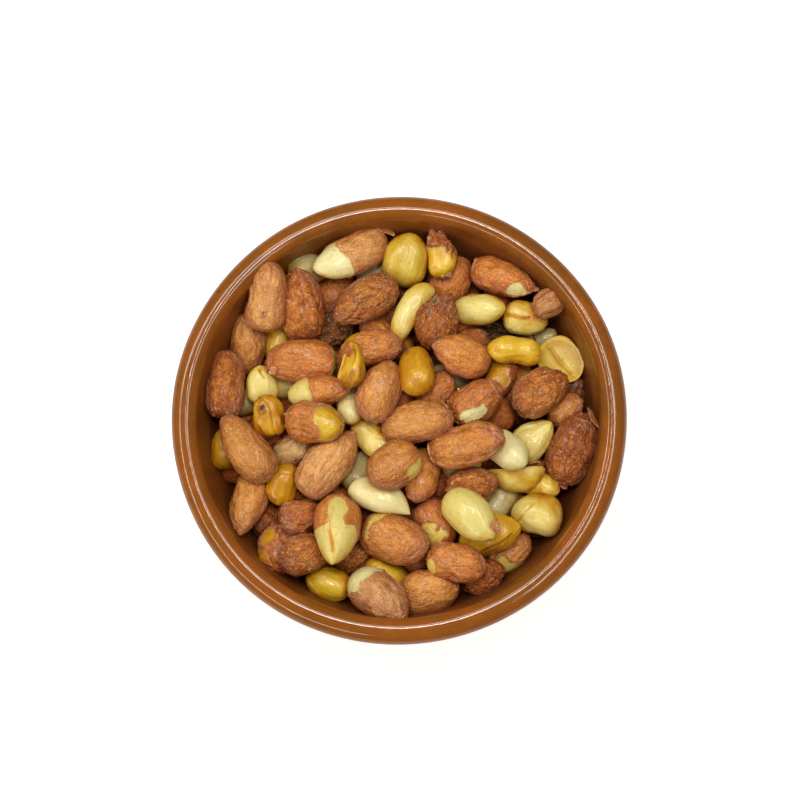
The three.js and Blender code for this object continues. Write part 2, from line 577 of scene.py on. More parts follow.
def makePeeledMaterial(name):
    # skin where the field is positive and bare flesh elsewhere
    values = skinValues["tan"]
    material, tree, surface = newMaterial(name, {"Coat Roughness": 0.22, "Specular IOR Level": 0.45})
    place = pointValue(tree, "place", "Vector")
    covering, skinHeight, mottle = skinColor(tree, place, values)
    bare, fleshHeight = fleshColor(tree, place)
    field = pointValue(tree, "skinField")
    inputs = {"Skin Field": field, "Place": place, "Ragged": finishValues["torn"]}
    edge = placeGroup(tree, tornEdge, inputs)
    # the flesh is deeper in color beside the torn skin
    bordered = rangeNode(tree, field, -1.6, -0.1, 0.0, 0.55)
    bare = laidOver(tree, bare, pointValue(tree, "edgeTint", "Color"), bordered)
    color = laidOver(tree, bare, covering, edge["Skin"])
    color = laidOver(tree, color, finishColors["tornLip"], edge["Lip"], 0.4)
    color, specks = salted(tree, place, color)
    uncovered = oneMinus(tree, edge["Skin"])
    oil = times(tree, rangeNode(tree, mottle, 0.2, 1, 0.1, 1.0), values["oil"], edge["Skin"])
    wet = times(tree, rangeNode(tree, fleshHeight, 0.7, 1.2, 0.24, 0.6), uncovered)
    fill(tree, surface.inputs, {
        "Base Color": color,
        "Roughness": rangeNode(tree, mottle, 0, 1, 0.46, 0.30),
        "Coat Weight": plus(tree, oil, wet),
    })
    raised = plus(
        tree,
        times(tree, edge["Skin"], plus(tree, skinHeight, 0.9)),
        times(tree, uncovered, fleshHeight, 0.5),
        times(tree, specks, 0.7),
    )
    addBump(tree, surface, raised, values["relief"])
    return material


def makeScrapMaterial():
    # thin skin, paler and pinkish towards its torn edges
    material, tree, surface = newMaterial("loose_skin", {"Coat Weight": 0.2, "Coat Roughness": 0.2})
    place = pointValue(tree, "place", "Vector")
    color, height, mottle = skinColor(tree, place, skinValues["dark"])
    fill(tree, surface.inputs, {
        "Base Color": laidOver(tree, color, finishColors["scrapRim"], pointValue(tree, "rim"), 0.5),
        "Roughness": rangeNode(tree, mottle, 0, 1, 0.5, 0.3),
    })
    addBump(tree, surface, height, finishValues["scrapRelief"])
    return material


def makeSaltMaterial():
    shader = {"Subsurface Weight": 0.3, "Subsurface Scale": 0.0008, "IOR": 1.54}
    material, tree, surface = newMaterial("salt_crystal", shader)
    texture = addNode(tree, "TexCoord").outputs["Object"]
    cloud = noiseNode(tree, texture, 900.0, 2.0)
    fill(tree, surface.inputs, {
        "Base Color": mixColor(tree, cloud, (0.95, 0.76, 0.54, 1), (0.90, 0.62, 0.38, 1)),
        "Roughness": rangeNode(tree, cloud, 0.3, 0.7, 0.2, 0.5),
    })
    addBump(tree, surface, noiseNode(tree, texture, 3000.0, 2.0), 0.05)
    return material


def makeCoreMaterial():
    # near black: painted shade deep in the heap
    material, tree, surface = newMaterial("heap_depth_shade", {})
    texture = addNode(tree, "TexCoord").outputs["Object"]
    cloud = rangeNode(tree, noiseNode(tree, texture, 160.0, 4.0, 0.6), 0.4, 0.6)
    fine = noiseNode(tree, texture, 900.0, 3.0, 0.6)
    fill(tree, surface.inputs, {
        "Base Color": mixColor(tree, cloud, (0.055, 0.018, 0.006, 1), (0.13, 0.045, 0.014, 1)),
        "Roughness": rangeNode(tree, fine, 0.3, 0.7, 0.45, 0.7),
    })
    addBump(tree, surface, fine, 0.3)
    return material


# the bowl is a turned body, glazed inside, over the lip and down the outside to the foot; sizes in mm
bowlValues = {
    "lipThickness": 6.8,
    "crestInset": 0.5,  # how far the lip's highest line lies inside its middle
    "footDiameter": 72.0,
    "footHeight": 2.6,
    "footStep": 1.4,
    "footRound": 0.7,
    "floorThickness": 6.2,
    "outerFullness": 1.7,
    "innerFullness": 2.3,
    "around": 256,
    "wallSteps": 44,
    "lipSteps": 28,
    "lipInside": 6,  # how many of the lip's rings take the inside's finish: its softer gloss and its painted shade
    "unevenness": 0.30,  # how far the hand-turned outline wanders
    "rings": 0.05,  # depth of the marks left by turning
    "ringPitch": 2.4,
    "glazeLine": 6.5,  # height where the glaze stops on the outside
}

lipRadius = bowlValues["lipThickness"] / 2
lipHeight = bowlHeight - lipRadius
lipMiddle = rimRadius - lipRadius
mouthRadius = rimRadius - 2 * lipRadius
innerDepth = lipHeight - bowlValues["floorThickness"]


def bowlProfile():
    # from the middle of the base out, up and over to the middle of the floor, as radius and height
    values = bowlValues
    foot = values["footDiameter"] / 2
    rounded = values["footRound"]
    profile = [(foot * share, 0.0) for share in (0.0, 0.25, 0.5, 0.75, 0.9)]
    for turn in np.linspace(0, math.pi / 2, 5):
        profile.append((foot - rounded + rounded * math.sin(turn), rounded - rounded * math.cos(turn)))
    profile.append((foot, values["footHeight"]))
    start = foot + values["footStep"]
    for turn in np.linspace(0, math.pi / 2, values["wallSteps"]):
        radius = start + (rimRadius - start) * math.sin(turn) ** values["outerFullness"]
        profile.append((radius, lipHeight - (lipHeight - values["footHeight"]) * math.cos(turn)))
    crest = lipMiddle - values["crestInset"]
    for turn in np.linspace(0, math.pi, values["lipSteps"])[1:-1]:
        reach = rimRadius - crest if turn < math.pi / 2 else crest - mouthRadius
        profile.append((crest + reach * math.cos(turn), lipHeight + lipRadius * math.sin(turn)))
    power = 2 / values["innerFullness"]
    for turn in np.linspace(0, math.pi / 2, values["wallSteps"]):
        radius = mouthRadius * max(math.cos(turn), 0) ** power
        profile.append((radius, lipHeight - innerDepth * math.sin(turn) ** power))
    profile[-1] = (0.0, profile[-1][1])
    return np.array(profile)


def makeGlaze():
    material, tree, surface = newMaterial("brown_glaze", {"Specular IOR Level": 0.5, "IOR": 1.5})
    texture = addNode(tree, "TexCoord").outputs["Object"]
    split = addNode(tree, "SeparateXYZ", {"Vector": texture})
    height = mathNode(tree, "DIVIDE", split.outputs["Z"], mm)
    broad = noiseNode(tree, texture, 38.0, 3.0, 0.6)
    cloud = noiseNode(tree, texture, 140.0, 4.0, 0.65)
    fine = noiseNode(tree, texture, 620.0, 3.0, 0.6)
    ground = rangeNode(tree, broad, 0.35, 0.65)
    color = mixColor(tree, ground, (0.24, 0.078, 0.009, 1), (0.31, 0.092, 0.010, 1))
    color = laidOver(tree, color, (0.40, 0.115, 0.013, 1), rangeNode(tree, cloud, 0.45, 0.70, 0.0, 0.6))
    color = laidOver(tree, color, (0.17, 0.052, 0.008, 1), rangeNode(tree, fine, 0.55, 0.75, 0.0, 0.35))
    # painted shade: darker down the inside, below the lip
    inside = pointValue(tree, "inside")
    depth = rangeNode(tree, height, lipHeight - 1, lipHeight - 17, 0.0, 0.85)
    color = laidOver(tree, color, (0.055, 0.013, 0.003, 1), depth, inside)
    # iron specks
    distance, cellColor = cellNode(tree, texture, 210.0)
    dot = rangeNode(tree, distance, 0.05, 0.14, 1.0, 0.0)
    specks = times(tree, chosenCells(tree, cellColor, 0.86), dot)
    color = laidOver(tree, color, (0.05, 0.016, 0.006, 1), specks, 0.8)
    # a wavy line where the glaze stops above the foot
    wave = rangeNode(tree, noiseNode(tree, texture, 60.0, 2.0), 0.3, 0.7, -1.4, 1.4)
    line = bowlValues["glazeLine"]
    glazed = rangeNode(tree, plus(tree, height, wave), line - 0.25, line + 0.25)
    glazed = mathNode(tree, "MAXIMUM", glazed, inside)
    clay = mixColor(tree, cloud, (0.46, 0.17, 0.075, 1), (0.56, 0.23, 0.11, 1))
    # glossiest on the lip, softer down the inside, dull on the bare clay
    softer = rangeNode(tree, height, lipHeight + 2.4, lipHeight - 1, 0.0, 0.34)
    fill(tree, surface.inputs, {
        "Base Color": mixColor(tree, glazed, clay, color),
        "Roughness": plus(
            tree,
            rangeNode(tree, fine, 0.3, 0.7, 0.07, 0.15),
            times(tree, softer, inside),
            times(tree, oneMinus(tree, glazed), 0.65),
        ),
    })
    peel = noiseNode(tree, texture, 420.0, 2.0, 0.5)
    waves = noiseNode(tree, texture, 90.0, 2.0, 0.5)
    addBump(tree, surface, plus(tree, waves, times(tree, peel, 0.25), times(tree, specks, -0.4)), 0.10)
    return material


def makeBowl():
    values = bowlValues
    chance = np.random.default_rng(11)
    profile = bowlProfile()
    count = values["around"]
    angle = np.linspace(0, 2 * math.pi, count, endpoint=False)
    rows = profile[1:-1]
    radius = np.repeat(rows[:, :1], count, 1)
    height = np.repeat(rows[:, 1:], count, 1)
    turn = np.repeat(angle[None], len(rows), 0)
    wander = sum(
        chance.uniform(-1, 1) / order * np.cos(order * turn + chance.uniform(0, fullTurn))
        for order in (2, 3, 4, 5, 7)
    )
    share = np.clip(height / bowlHeight, 0, 1) * np.clip(radius / mouthRadius, 0, 1)
    radius = radius + values["unevenness"] * wander * share
    marks = np.sin(2 * math.pi * height / values["ringPitch"] + turn + 2 * np.sin(height * 0.7))
    walls = (height > values["footHeight"] + 0.5) & (height < lipHeight - 1)
    radius = radius + values["rings"] * marks * walls
    points = np.stack([radius * np.cos(turn), radius * np.sin(turn), height], -1).reshape(-1, 3)
    ends = np.array([[0, 0, profile[0, 1]], [0, 0, profile[-1, 1]]])
    points = np.concatenate([points, ends])
    firstInside = len(rows) - values["wallSteps"] - values["lipInside"]
    inside = np.repeat((np.arange(len(rows)) >= firstInside).astype(float), count)
    inside = np.concatenate([inside, [0.0, 1.0]])
    faces = gridFaces(len(rows), count, len(points) - 2, len(points) - 1)
    piece = makeMesh("bowl_glazed", points, faces, makeGlaze(), {"inside": inside})
    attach(piece, "root")
    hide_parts("bowl")


makeBowl()
print("bowl made")


# what all kernels' shapes share, in mm where nothing else is said
formValues = {
    "rings": 52,
    "sides": 64,
    "deepRings": 20,
    "deepSides": 18,
    "crowding": 0.4,  # how much closer together the sides are on top
    "thick": 0.92,  # depth as a share of the width
    "quarterGirth": 0.78,  # also as a share of the width
    "taper": 0.07,
    "waistPlace": -0.1,  # along the kernel, from -1 to 1
    "waistSpread": 0.33,
    "threeSided": 0.035,
    "lumps": 0.36,
    "lumpSize": 7.0,
    "wrinkle": 0.30,
    "wrinkleSize": 1.6,
    "wrinkleStretch": 0.42,
    "foldSize": 4.5,
    "foldStretch": 0.55,
    "foldWidth": 0.14,
    "tornSize": 1.1,
    "tornEnds": (0.70, 0.93),  # where along the kernel its ends begin to be torn, and are
    "ribs": 7,
    "skinThickness": 0.22,
    "skinStep": (-0.35, 0.25),  # where its thickness begins and is full, from its edge
    "skinCurl": 0.25,  # how far the torn edge lifts
    "curlPlace": 0.45,
    "curlWidth": 0.4,
    "bareWrinkles": 0.15,  # how much of the skin's wrinkles the bare flesh beside it has
    "edgeSize": 2.4,
    "edgeWander": 0.5,
    "seamDepth": 0.5,
    "seamWidth": 0.35,
    "seamBulge": 0.2,
    "bulgeWidth": 2.2,
    "bend": (-0.6, 0.6),
    "hollow": 0.8,  # of a split half
    "faceEdge": 0.12,  # how much of its depth the rounding of its edge takes
    "faceRelief": 0.35,  # how much of the relief its flat face has
    "grooveDepth": 0.6,
    "grooveWidth": 0.7,
    "rimRise": 0.5,
    "browning": 0.95,
    "contactShadeReach": 1.5,  # over which a kernel is painted darker towards its neighbours, as shade
}
far = 9.0  # mm, for points that no seam and no edge of the skin is near

# how each kind differs: wrinkled scales the fine ridges, folded is the depth of its folds in mm,
# ragged is how far its torn ends stick out in mm
kindHabits = {
    "tan": {"wrinkled": 0.55, "folded": 0.2, "ragged": 0.2, "salt": 0.1},
    "dark": {"wrinkled": 0.95, "folded": 0.36, "ragged": 0.35, "salt": 0.12},
    "peeled": {"wrinkled": 0.55, "folded": 0.2, "ragged": 0.2, "salt": 0.1},
    "pale": {"wrinkled": 0.2, "folded": 0.08, "ragged": 0.0, "salt": 0.0},
    "golden": {"wrinkled": 0.3, "folded": 0.15, "ragged": 0.0, "salt": 0.0},
    "split": {"wrinkled": 0.2, "folded": 0.08, "ragged": 0.0, "salt": 0.0},
    "under": {"wrinkled": 1.0, "folded": 0.2, "ragged": 0.2, "salt": 0.0},
}

# tints of the kernels, in linear color
skinTints = {
    "sandy": (0.88, 0.58, 0.26),
    "dusty": (0.72, 0.34, 0.14),
    "lightTan": (0.92, 0.45, 0.145),
    "tan": (0.85, 0.385, 0.098),
    "orange": (0.85, 0.335, 0.068),
    "redOrange": (0.78, 0.28, 0.052),
    "red": (0.70, 0.23, 0.045),
    "darkRed": (0.58, 0.175, 0.038),
    "brown": (0.32, 0.125, 0.032),
    # near black: painted shade for a small hole and for a dark shell in the gap between kernels; also a black
    # spot
    "burnt": (0.10, 0.040, 0.010),
}
fleshTints = {
    "cream": (0.84, 0.75, 0.36),
    "pale": (0.83, 0.69, 0.21),
    "straw": (0.76, 0.55, 0.09),
    "golden": (0.82, 0.54, 0.035),
    "amber": (0.72, 0.38, 0.010),
    "greyPale": (0.56, 0.48, 0.21),
}
# the flesh's deeper tints towards its sides and ends: partly toasting, partly painted shade
edgeTints = {
    "cream": (0.74, 0.61, 0.21),
    "pale": (0.74, 0.51, 0.07),
    "straw": (0.64, 0.41, 0.025),
    "golden": (0.66, 0.34, 0.006),
    "amber": (0.52, 0.22, 0.002),
    "greyPale": (0.38, 0.29, 0.08),
}


def nearPlace(along, across, middle, side, reach, spread):
    # 0 at a place on the kernel, 1 at the edge of a round patch about it
    return np.hypot((along - middle) / reach, (across - side) / spread)


def outline(look, along):
    # radius along the kernel, 1 at the widest: rounder or squarer at the blunt end, more or less pointed
    values = formValues
    point = look.get("point", 0.35)
    blunt = look.get("blunt", 0.15)
    square = blunt * (1 - point)
    power = np.where(along < 0, 2.3 + 1.5 * blunt, 2.2 + 1.3 * square - 0.45 * point)
    root = np.where(along < 0, 2.2 + 0.7 * blunt, 2.0 + 0.6 * square - 0.62 * point)
    radius = (1 - np.abs(along) ** power).clip(0) ** (1 / root)
    radius *= 1 - values["taper"] * along
    waist = np.exp(-((along - values["waistPlace"]) / values["waistSpread"]) ** 2)
    return radius * (1 - look.get("waist", 0.03) * waist)


def skinOff(look, along, across, points, chance):
    # mm from the edge of the skin, positive on the skin; bare places are middle and side, reach and spread
    length, width = look["size"]
    field = np.full(len(points), far if look["covered"] else -far)
    for middle, side, reach, spread in look.get("bare", ()):
        gone = nearPlace(along, across, middle, side, reach, spread) - 1
        field = np.minimum(field, gone * min(reach * length / 2, spread * width * formValues["quarterGirth"]))
    edge = softNoise(points, formValues["edgeSize"], chance) * formValues["edgeWander"]
    return np.where(np.abs(field) < far - 0.5, field + edge, field)


def kernelForm(look, rings, sides, chance):
    # one kernel along X, its blunt end at -X, with what its finish needs at each point
    values = formValues
    habits = kindHabits[look["kind"]]
    half = look.get("half")
    length, width = look["size"]
    depth = look.get("depth", width * values["thick"])
    along = -np.cos(np.linspace(0, math.pi, rings + 2))
    radius = outline(look, along)
    angle = np.linspace(0, 2 * math.pi, sides, endpoint=False)
    angle = angle - values["crowding"] * np.sin(angle)
    along = np.concatenate([np.repeat(along[1:-1], sides), [-1.0, 1.0]])
    radius = np.concatenate([np.repeat(radius[1:-1], sides), [0.0, 0.0]])
    angle = np.concatenate([np.tile(angle, rings), [0.0, 0.0]])
    upper = np.cos(angle) > 0
    radius = radius * (1 + values["threeSided"] * np.cos(3 * angle + chance.uniform(0, fullTurn)))
    x = along * length / 2
    y = radius * np.sin(angle) * width / 2
    z = radius * np.cos(angle) * depth / 2
    normal = np.stack([x / length ** 2, y / width ** 2, z / depth ** 2], -1)
    normal /= np.linalg.norm(normal, axis=1)[:, None] + 1e-9
    across = ((angle + math.pi) % (2 * math.pi) - math.pi) / (math.pi / 2)  # 0 on top, 1 and -1 at the sides
    if half:
        # the upper side is the split face: hollow, with a groove down its middle and a raised rim
        spread = np.clip((2 * x / length) ** 2 + (2 * y / width) ** 2, 0, 1)
        hollow = look.get("hollow", values["hollow"])
        groove = values["grooveDepth"] * np.exp(-(y / values["grooveWidth"]) ** 2) * (1 - spread)
        face = values["rimRise"] * spread ** 3 - hollow * (1 - spread) - groove
        z = np.where(z > 0, face * np.clip(z / (values["faceEdge"] * depth), 0, 1), z)
        normal = np.where((z > -hollow - 0.7)[:, None] & upper[:, None], [0, 0, 1.0], normal)
    points = np.stack([x, y, z], -1)
    # relief of the surface: lumps, fine wrinkles, folds, torn ends and ribs
    lumps = softNoise(points, values["lumpSize"], chance) * values["lumps"] * look.get("lumpy", 1.0)
    wrinkle = softNoise(points * [values["wrinkleStretch"], 1, 1], values["wrinkleSize"], chance, 12)
    wrinkle = (0.4 - np.abs(wrinkle)) * values["wrinkle"] * look.get("wrinkled", habits["wrinkled"])
    wrinkle = wrinkle * (1 - along ** 6)
    fold = softNoise(points * [values["foldStretch"], 1, 1], values["foldSize"], chance)
    fold = np.exp(-(fold / values["foldWidth"]) ** 2) * look.get("folded", habits["folded"])
    torn = np.abs(softNoise(points, values["tornSize"], chance, 12)) * look.get("ragged", habits["ragged"])
    torn = torn * smoothStep(np.abs(along), *values["tornEnds"])
    ribs = np.abs(np.sin(values["ribs"] / 2 * angle + 0.8 * along)) ** 0.6 - 0.7
    ribs = look.get("grooved", 0.0) * ribs * (1 - along ** 4)
    field = skinOff(look, along, across, points, chance)
    skin = smoothStep(field, *values["skinStep"])
    curl = np.exp(-((field - values["curlPlace"]) / values["curlWidth"]) ** 2) * values["skinCurl"]
    papery = values["bareWrinkles"] + (1 - values["bareWrinkles"]) * skin if look["covered"] else 1.0
    offset = lumps + ribs + (wrinkle - fold + torn) * papery
    if half:
        offset = offset * np.where(upper, values["faceRelief"], 1)
    offset = offset + skin * values["skinThickness"] + curl
    # creases: where they are around and along, their reach and slant
    seam = np.full(len(points), far)
    for side, middle, reach, slant in look.get("creases", ()):
        wander = 0.08 * np.sin(along * 4.1 + chance.uniform(0, fullTurn)) + slant * (along - middle)
        line = np.abs(across - side - wander) * math.pi / 2 * radius * width / 2
        line = line + np.clip((np.abs(along - middle) - reach) / 0.15, 0, 1) * 2
        offset = offset - values["seamDepth"] * np.exp(-(line / values["seamWidth"]) ** 2)
        offset = offset + values["seamBulge"] * np.exp(-(line / values["bulgeWidth"]) ** 2)
        seam = np.minimum(seam, line)
    points = points + normal * offset[:, None]
    bend = look.get("bend", chance.uniform(*values["bend"]))
    points[:, 1] += bend * (along ** 2 - 0.35)
    points[:, 2] -= 0.3 * abs(bend) * (along ** 2 - 0.35)
    # how toasted: the kernel's own toast and the browned places, with painted shade that makes it most at the
    # ends and the sides
    toasted = look.get("toast", 0.0)
    toast = toasted + 0.6 * np.abs(along) ** 3 + 1.1 * np.clip(np.abs(across) - 0.35, 0, 1)
    if half:
        face = upper & (spread < 0.97)
        seam = np.where(face & (spread < 0.55), np.abs(y), seam)
        ring = 0.7 * smoothStep(spread, 0.1, 0.6) - 1.3 * smoothStep(spread, 0.70, 0.92)
        toast = np.where(face, toasted + ring, toast)
    for middle, side, reach in look.get("browned", ()):
        away = nearPlace(along, across, middle, side, reach, reach)
        toast = toast + values["browning"] * np.exp(-away ** 2)
    # painted shade: darker towards the ends and the sides, which turn away from the light
    shade = 0.7 * along ** 4 + 0.9 * np.clip(np.abs(across) - 0.3, 0, 1)
    marks = dict(field=field, seam=seam, toast=toast, shade=shade, along=along, across=across, normal=normal)
    return points, marks


def turned(points, yaw, pitch, roll):
    # rolls about X, lifts the pointed end by pitch and turns about Z, all in radians
    cosRoll, sinRoll = math.cos(roll), math.sin(roll)
    cosPitch, sinPitch = math.cos(pitch), math.sin(pitch)
    cosYaw, sinYaw = math.cos(yaw), math.sin(yaw)
    rolled = np.array([[1, 0, 0], [0, cosRoll, -sinRoll], [0, sinRoll, cosRoll]])
    pitched = np.array([[cosPitch, 0, -sinPitch], [0, 1, 0], [sinPitch, 0, cosPitch]])
    yawed = np.array([[cosYaw, -sinYaw, 0], [sinYaw, cosYaw, 0], [0, 0, 1]])
    return points @ (yawed @ pitched @ rolled).T


# the kernels that show, as they lie: places are mm from the middle of the bowl's outline, as seen.
# Places on a kernel run along it, from -1 at its blunt end to 1, and across it, from 0 on top to 1 and -1 at
# its sides: bare is (along, across, reach, spread), browned (along, across, reach), creases (across, along,
# reach, slant) and frills (along, across, half width, reach in mm, lift)
kernelLooks = []


def kernel(kind, place, size, turn, level, **more):
    # size is length and width; turn points the narrow end, in degrees from the right; level is mm deep
    covered = kind in ("tan", "dark", "peeled")
    look = dict(kind=kind, place=place, size=size, turn=turn, level=level, covered=covered, **more)
    kernelLooks.append(look)


# along the far side
kernel("peeled", (-12.9, 43.1), (22, 11), 207, 0, skin="lightTan", flesh="cream", point=0.6, blunt=0.5,
       bare=[(1.0, 0.5, 0.8, 1.9)], toast=-0.35, salt=0.1)
kernel("pale", (1.4, 42.3), (15, 12.5), 75, 0, flesh="straw", point=0.1, toast=0.2, grooved=0.3)
kernel("peeled", (10.6, 43.1), (12.5, 7.8), 95, -1, skin="darkRed", flesh="golden",
       bare=[(-0.7, 0.5, 1.0, 1.6)], toast=0.0, folded=0.5, wrinkled=1.3, ragged=0.9, lumpy=1.8,
       browned=[(0.0, -0.1, 0.4)])
kernel("tan", (13.7, 36.8), (14, 11), 70, 5, skin="redOrange", salt=0.3)
kernel("peeled", (27.1, 37.6), (19, 10), -25, -1, skin="redOrange", flesh="cream", point=0.9, wrinkled=0.9,
       bare=[(0.60, -0.62, 0.26, 0.50)], frills=[(-0.9, 0.3, 0.8, 0.6, 0.3)], salt=0.3)
kernel("pale", (-24.7, 41.2), (12, 9), 10, 8, flesh="greyPale")
kernel("pale", (-6.4, 39.5), (12, 9), 60, 8, flesh="greyPale")
kernel("tan", (-17.1, 34.0), (14, 10), 60, 7, skin="red")

# upper left
kernel("tan", (-35.4, 33.6), (19.3, 10.6), 82, -2, skin="lightTan", blunt=0.9, point=0.1, waist=0.07,
       salt=0.2)
kernel("dark", (-26.0, 30.3), (18.6, 12.3), 92, 0, skin="redOrange", blunt=0.3, point=0.3, lumpy=0.5,
       salt=0.15)
kernel("dark", (-9.3, 31.6), (19.3, 11.5), 215, 0, skin="redOrange", point=0.7, salt=0.8,
       creases=[(0.25, 0.3, 0.5, 0.2)], frills=[(0.3, 1.0, 0.3, 1.0, 0.6)])
kernel("pale", (2.7, 28.5), (18.3, 7.6), 238, 2, flesh="pale", bend=1.2, toast=0.1, point=0.2)
kernel("dark", (9.8, 25.6), (13.8, 11.5), 80, 0, skin="red", blunt=0.4, salt=0.15, wrinkled=1.6, folded=0.6,
       ragged=0.8)
kernel("tan", (-40.1, 20.4), (17, 9.6), 80, 5, skin="tan", salt=0.2)
kernel("golden", (-32.0, 21.6), (12, 9), 65, 6, flesh="golden", browned=[(0.2, 0.9, 0.5)])
kernel("peeled", (-25.7, 15.7), (18.2, 11.5), 177, 0, skin="redOrange", flesh="pale", blunt=0.6,
       bare=[(-1.05, 0.2, 0.2, 1.2)], folded=0.15, salt=0.15, frills=[(0.88, 0.6, 0.9, 0.8, 0.3)])
kernel("dark", (-17.4, 23.8), (13, 10), 20, 7, skin="brown", wrinkled=1.8, folded=0.6)

# upper right
kernel("pale", (21.0, 29.3), (15.0, 8.4), -5, 1, flesh="pale", toast=-0.1, point=0.2)
kernel("golden", (33.3, 26.6), (12.6, 9.4), -15, -1, flesh="pale", toast=-0.1,
       creases=[(-0.1, -0.4, 0.5, 0.3)], browned=[(0.1, 0.6, 0.9), (0.8, 0.1, 0.5)])
kernel("golden", (30.2, 18.3), (14.8, 8.4), 177, 0, flesh="golden", toast=-0.1, waist=0.12,
       browned=[(0, 0.9, 0.7), (0.9, 0, 0.3)])
# the shell's near-black tint is partly painted shade, of the gap under its neighbours
kernel("dark", (26.6, 22.6), (17, 6), -10, 7, skin="burnt", half=True, hollow=1.2, roll=20, salt=0)
kernel("split", (42.2, 15.7), (13.5, 12), -52, 3, flesh="straw", half=True, flat=True, roll=-8, toast=0.1,
       hollow=0.5)
kernel("pale", (37.0, 21.5), (10, 7), 20, 8, flesh="greyPale")
kernel("tan", (39.0, 30.8), (6.6, 5.8), 30, -3, skin="dusty", ragged=0.8, lumpy=2.6, folded=0.6,
       wrinkled=1.8, salt=0.1)
kernel("dark", (44.8, 6.0), (14, 10), 60, 9, skin="brown")
kernel("tan", (43.3, 2.9), (10, 8), 40, 7, skin="tan")
kernel("dark", (37.0, 7.6), (14.8, 12), 25, 0, skin="redOrange", salt=0.15, point=0.6, folded=0.6)

# left
kernel("dark", (-45.6, 9.4), (18.3, 9.9), 88, 2, skin="red", blunt=0.9, point=0.1, grooved=0.25, salt=0.05)
kernel("pale", (-36.3, 9.3), (11, 8.4), 95, 4, flesh="pale", creases=[(-0.2, 0.6, 0.25, 0.3)], toast=-0.1)
kernel("golden", (-34.6, 2.1), (11.5, 8.6), 95, 4, flesh="amber", toast=0.2, blunt=0.7,
       creases=[(0.1, 0.35, 0.05, 0.0)], wrinkled=1.2, folded=0.3,
       browned=[(0.35, 0.1, 0.25), (0.35, 0.1, 0.25), (-0.6, 0.8, 0.5), (-0.4, -0.9, 0.4), (0.8, 0.6, 0.4)])
kernel("tan", (-40.9, 1.3), (13, 9), 60, 9, skin="redOrange")
kernel("pale", (-40.1, 4.9), (9, 7), 20, 9, flesh="greyPale")
kernel("pale", (-29.1, 9.4), (11, 8), 0, 9, flesh="pale")
kernel("golden", (-46.4, -7.1), (12, 8.4), 95, 7, flesh="amber", toast=0.1)
kernel("tan", (-40.1, -7.0), (21, 11.4), 125, 1, skin="tan", point=0.9, blunt=0, salt=0.3)

# the middle
kernel("peeled", (-7.2, 18.9), (16.2, 10), 8, 1, skin="orange", flesh="golden", toast=0.3, point=0.2,
       bare=[(-0.9, 0.8, 0.7, 0.5), (-0.2, 1.1, 0.8, 0.3)], folded=0.3, salt=0.2)
kernel("split", (-13.4, 15.0), (12.0, 8.4), 78, -2, flesh="golden", half=True, hollow=1.3, roll=-54,
       toast=0.1, lumpy=3.4, bend=1.4, wrinkled=1.0, browned=[(0.2, -0.6, 0.5)])
kernel("golden", (4.6, 13.1), (14.1, 9.7), 100, 1, flesh="amber", toast=0.25, blunt=0.4,
       browned=[(0.6, 0.3, 0.6), (-0.2, -0.8, 0.4)])
kernel("tan", (16.0, 17.2), (16.2, 10), 162, 0, skin="orange", point=0.8, wrinkled=0.8, salt=0.2)
kernel("pale", (12.7, 11.0), (12, 9), 0, 8, flesh="greyPale")
kernel("tan", (9.5, 7.1), (14, 10), 60, 7, skin="redOrange")
kernel("peeled", (19.9, 5.0), (15.5, 10.8), 30, 0, skin="red", flesh="cream", toast=-0.5,
       bare=[(-0.15, -0.3, 0.44, 0.28)], folded=0.4, salt=0.2, frills=[(0.8, 0.3, 1.0, 1.0, 0.5)])
kernel("peeled", (26.8, 12.0), (11, 8), 70, 8, skin="red", flesh="amber", toast=0.8,
       bare=[(-0.3, 0.2, 0.7, 0.8)])
kernel("tan", (31.0, 9.3), (13, 10), 80, 6, skin="tan")
kernel("dark", (28.9, 2.6), (12, 9), 30, 9, skin="brown")
kernel("tan", (-5.1, 7.8), (16.9, 11.6), 70, 0, skin="tan", point=0.8, blunt=0, salt=0.35)
kernel("peeled", (-21.3, 7.6), (18, 8.6), 2, 3, skin="orange", flesh="pale", point=1.0,
       bare=[(-0.9, -0.6, 0.95, 1.6)], toast=-0.2, salt=0.1)
kernel("pale", (-12.9, 5.0), (14, 7.4), 95, 5, flesh="cream")
kernel("peeled", (-22.1, -0.5), (16.2, 11), -5, 0, skin="redOrange", flesh="golden", toast=0.0,
       bare=[(0.9, 0.1, 0.55, 1.4)], folded=0.5, wrinkled=1.2, salt=0.5)
kernel("tan", (4.6, -0.3), (18.8, 10.8), 8, 0, skin="tan", point=0.2, blunt=0.2, salt=0.2, grooved=0.12)
kernel("tan", (17.7, -6.3), (20.4, 10.2), 10, 0, skin="orange", blunt=0.8, wrinkled=0.8, grooved=0.55,
       folded=0.3, salt=0.05, frills=[(-0.92, 0.0, 1.3, 0.8, 0.3)])
kernel("pale", (28.4, -7.7), (13.5, 9.8), -42, 1, flesh="cream", toast=-0.4, point=0.8)
kernel("pale", (35.0, -4.8), (14, 10), 43, 3, flesh="pale", point=1.0, blunt=0, grooved=0.35, toast=-0.2)
kernel("dark", (45.4, -7.3), (20.6, 12.4), 65, 1, skin="darkRed", ragged=0.5, folded=0.6, salt=0.2,
       frills=[(0.85, -0.4, 1.0, 1.0, 0.5), (-0.88, -0.5, 1.0, 1.0, 0.5)])

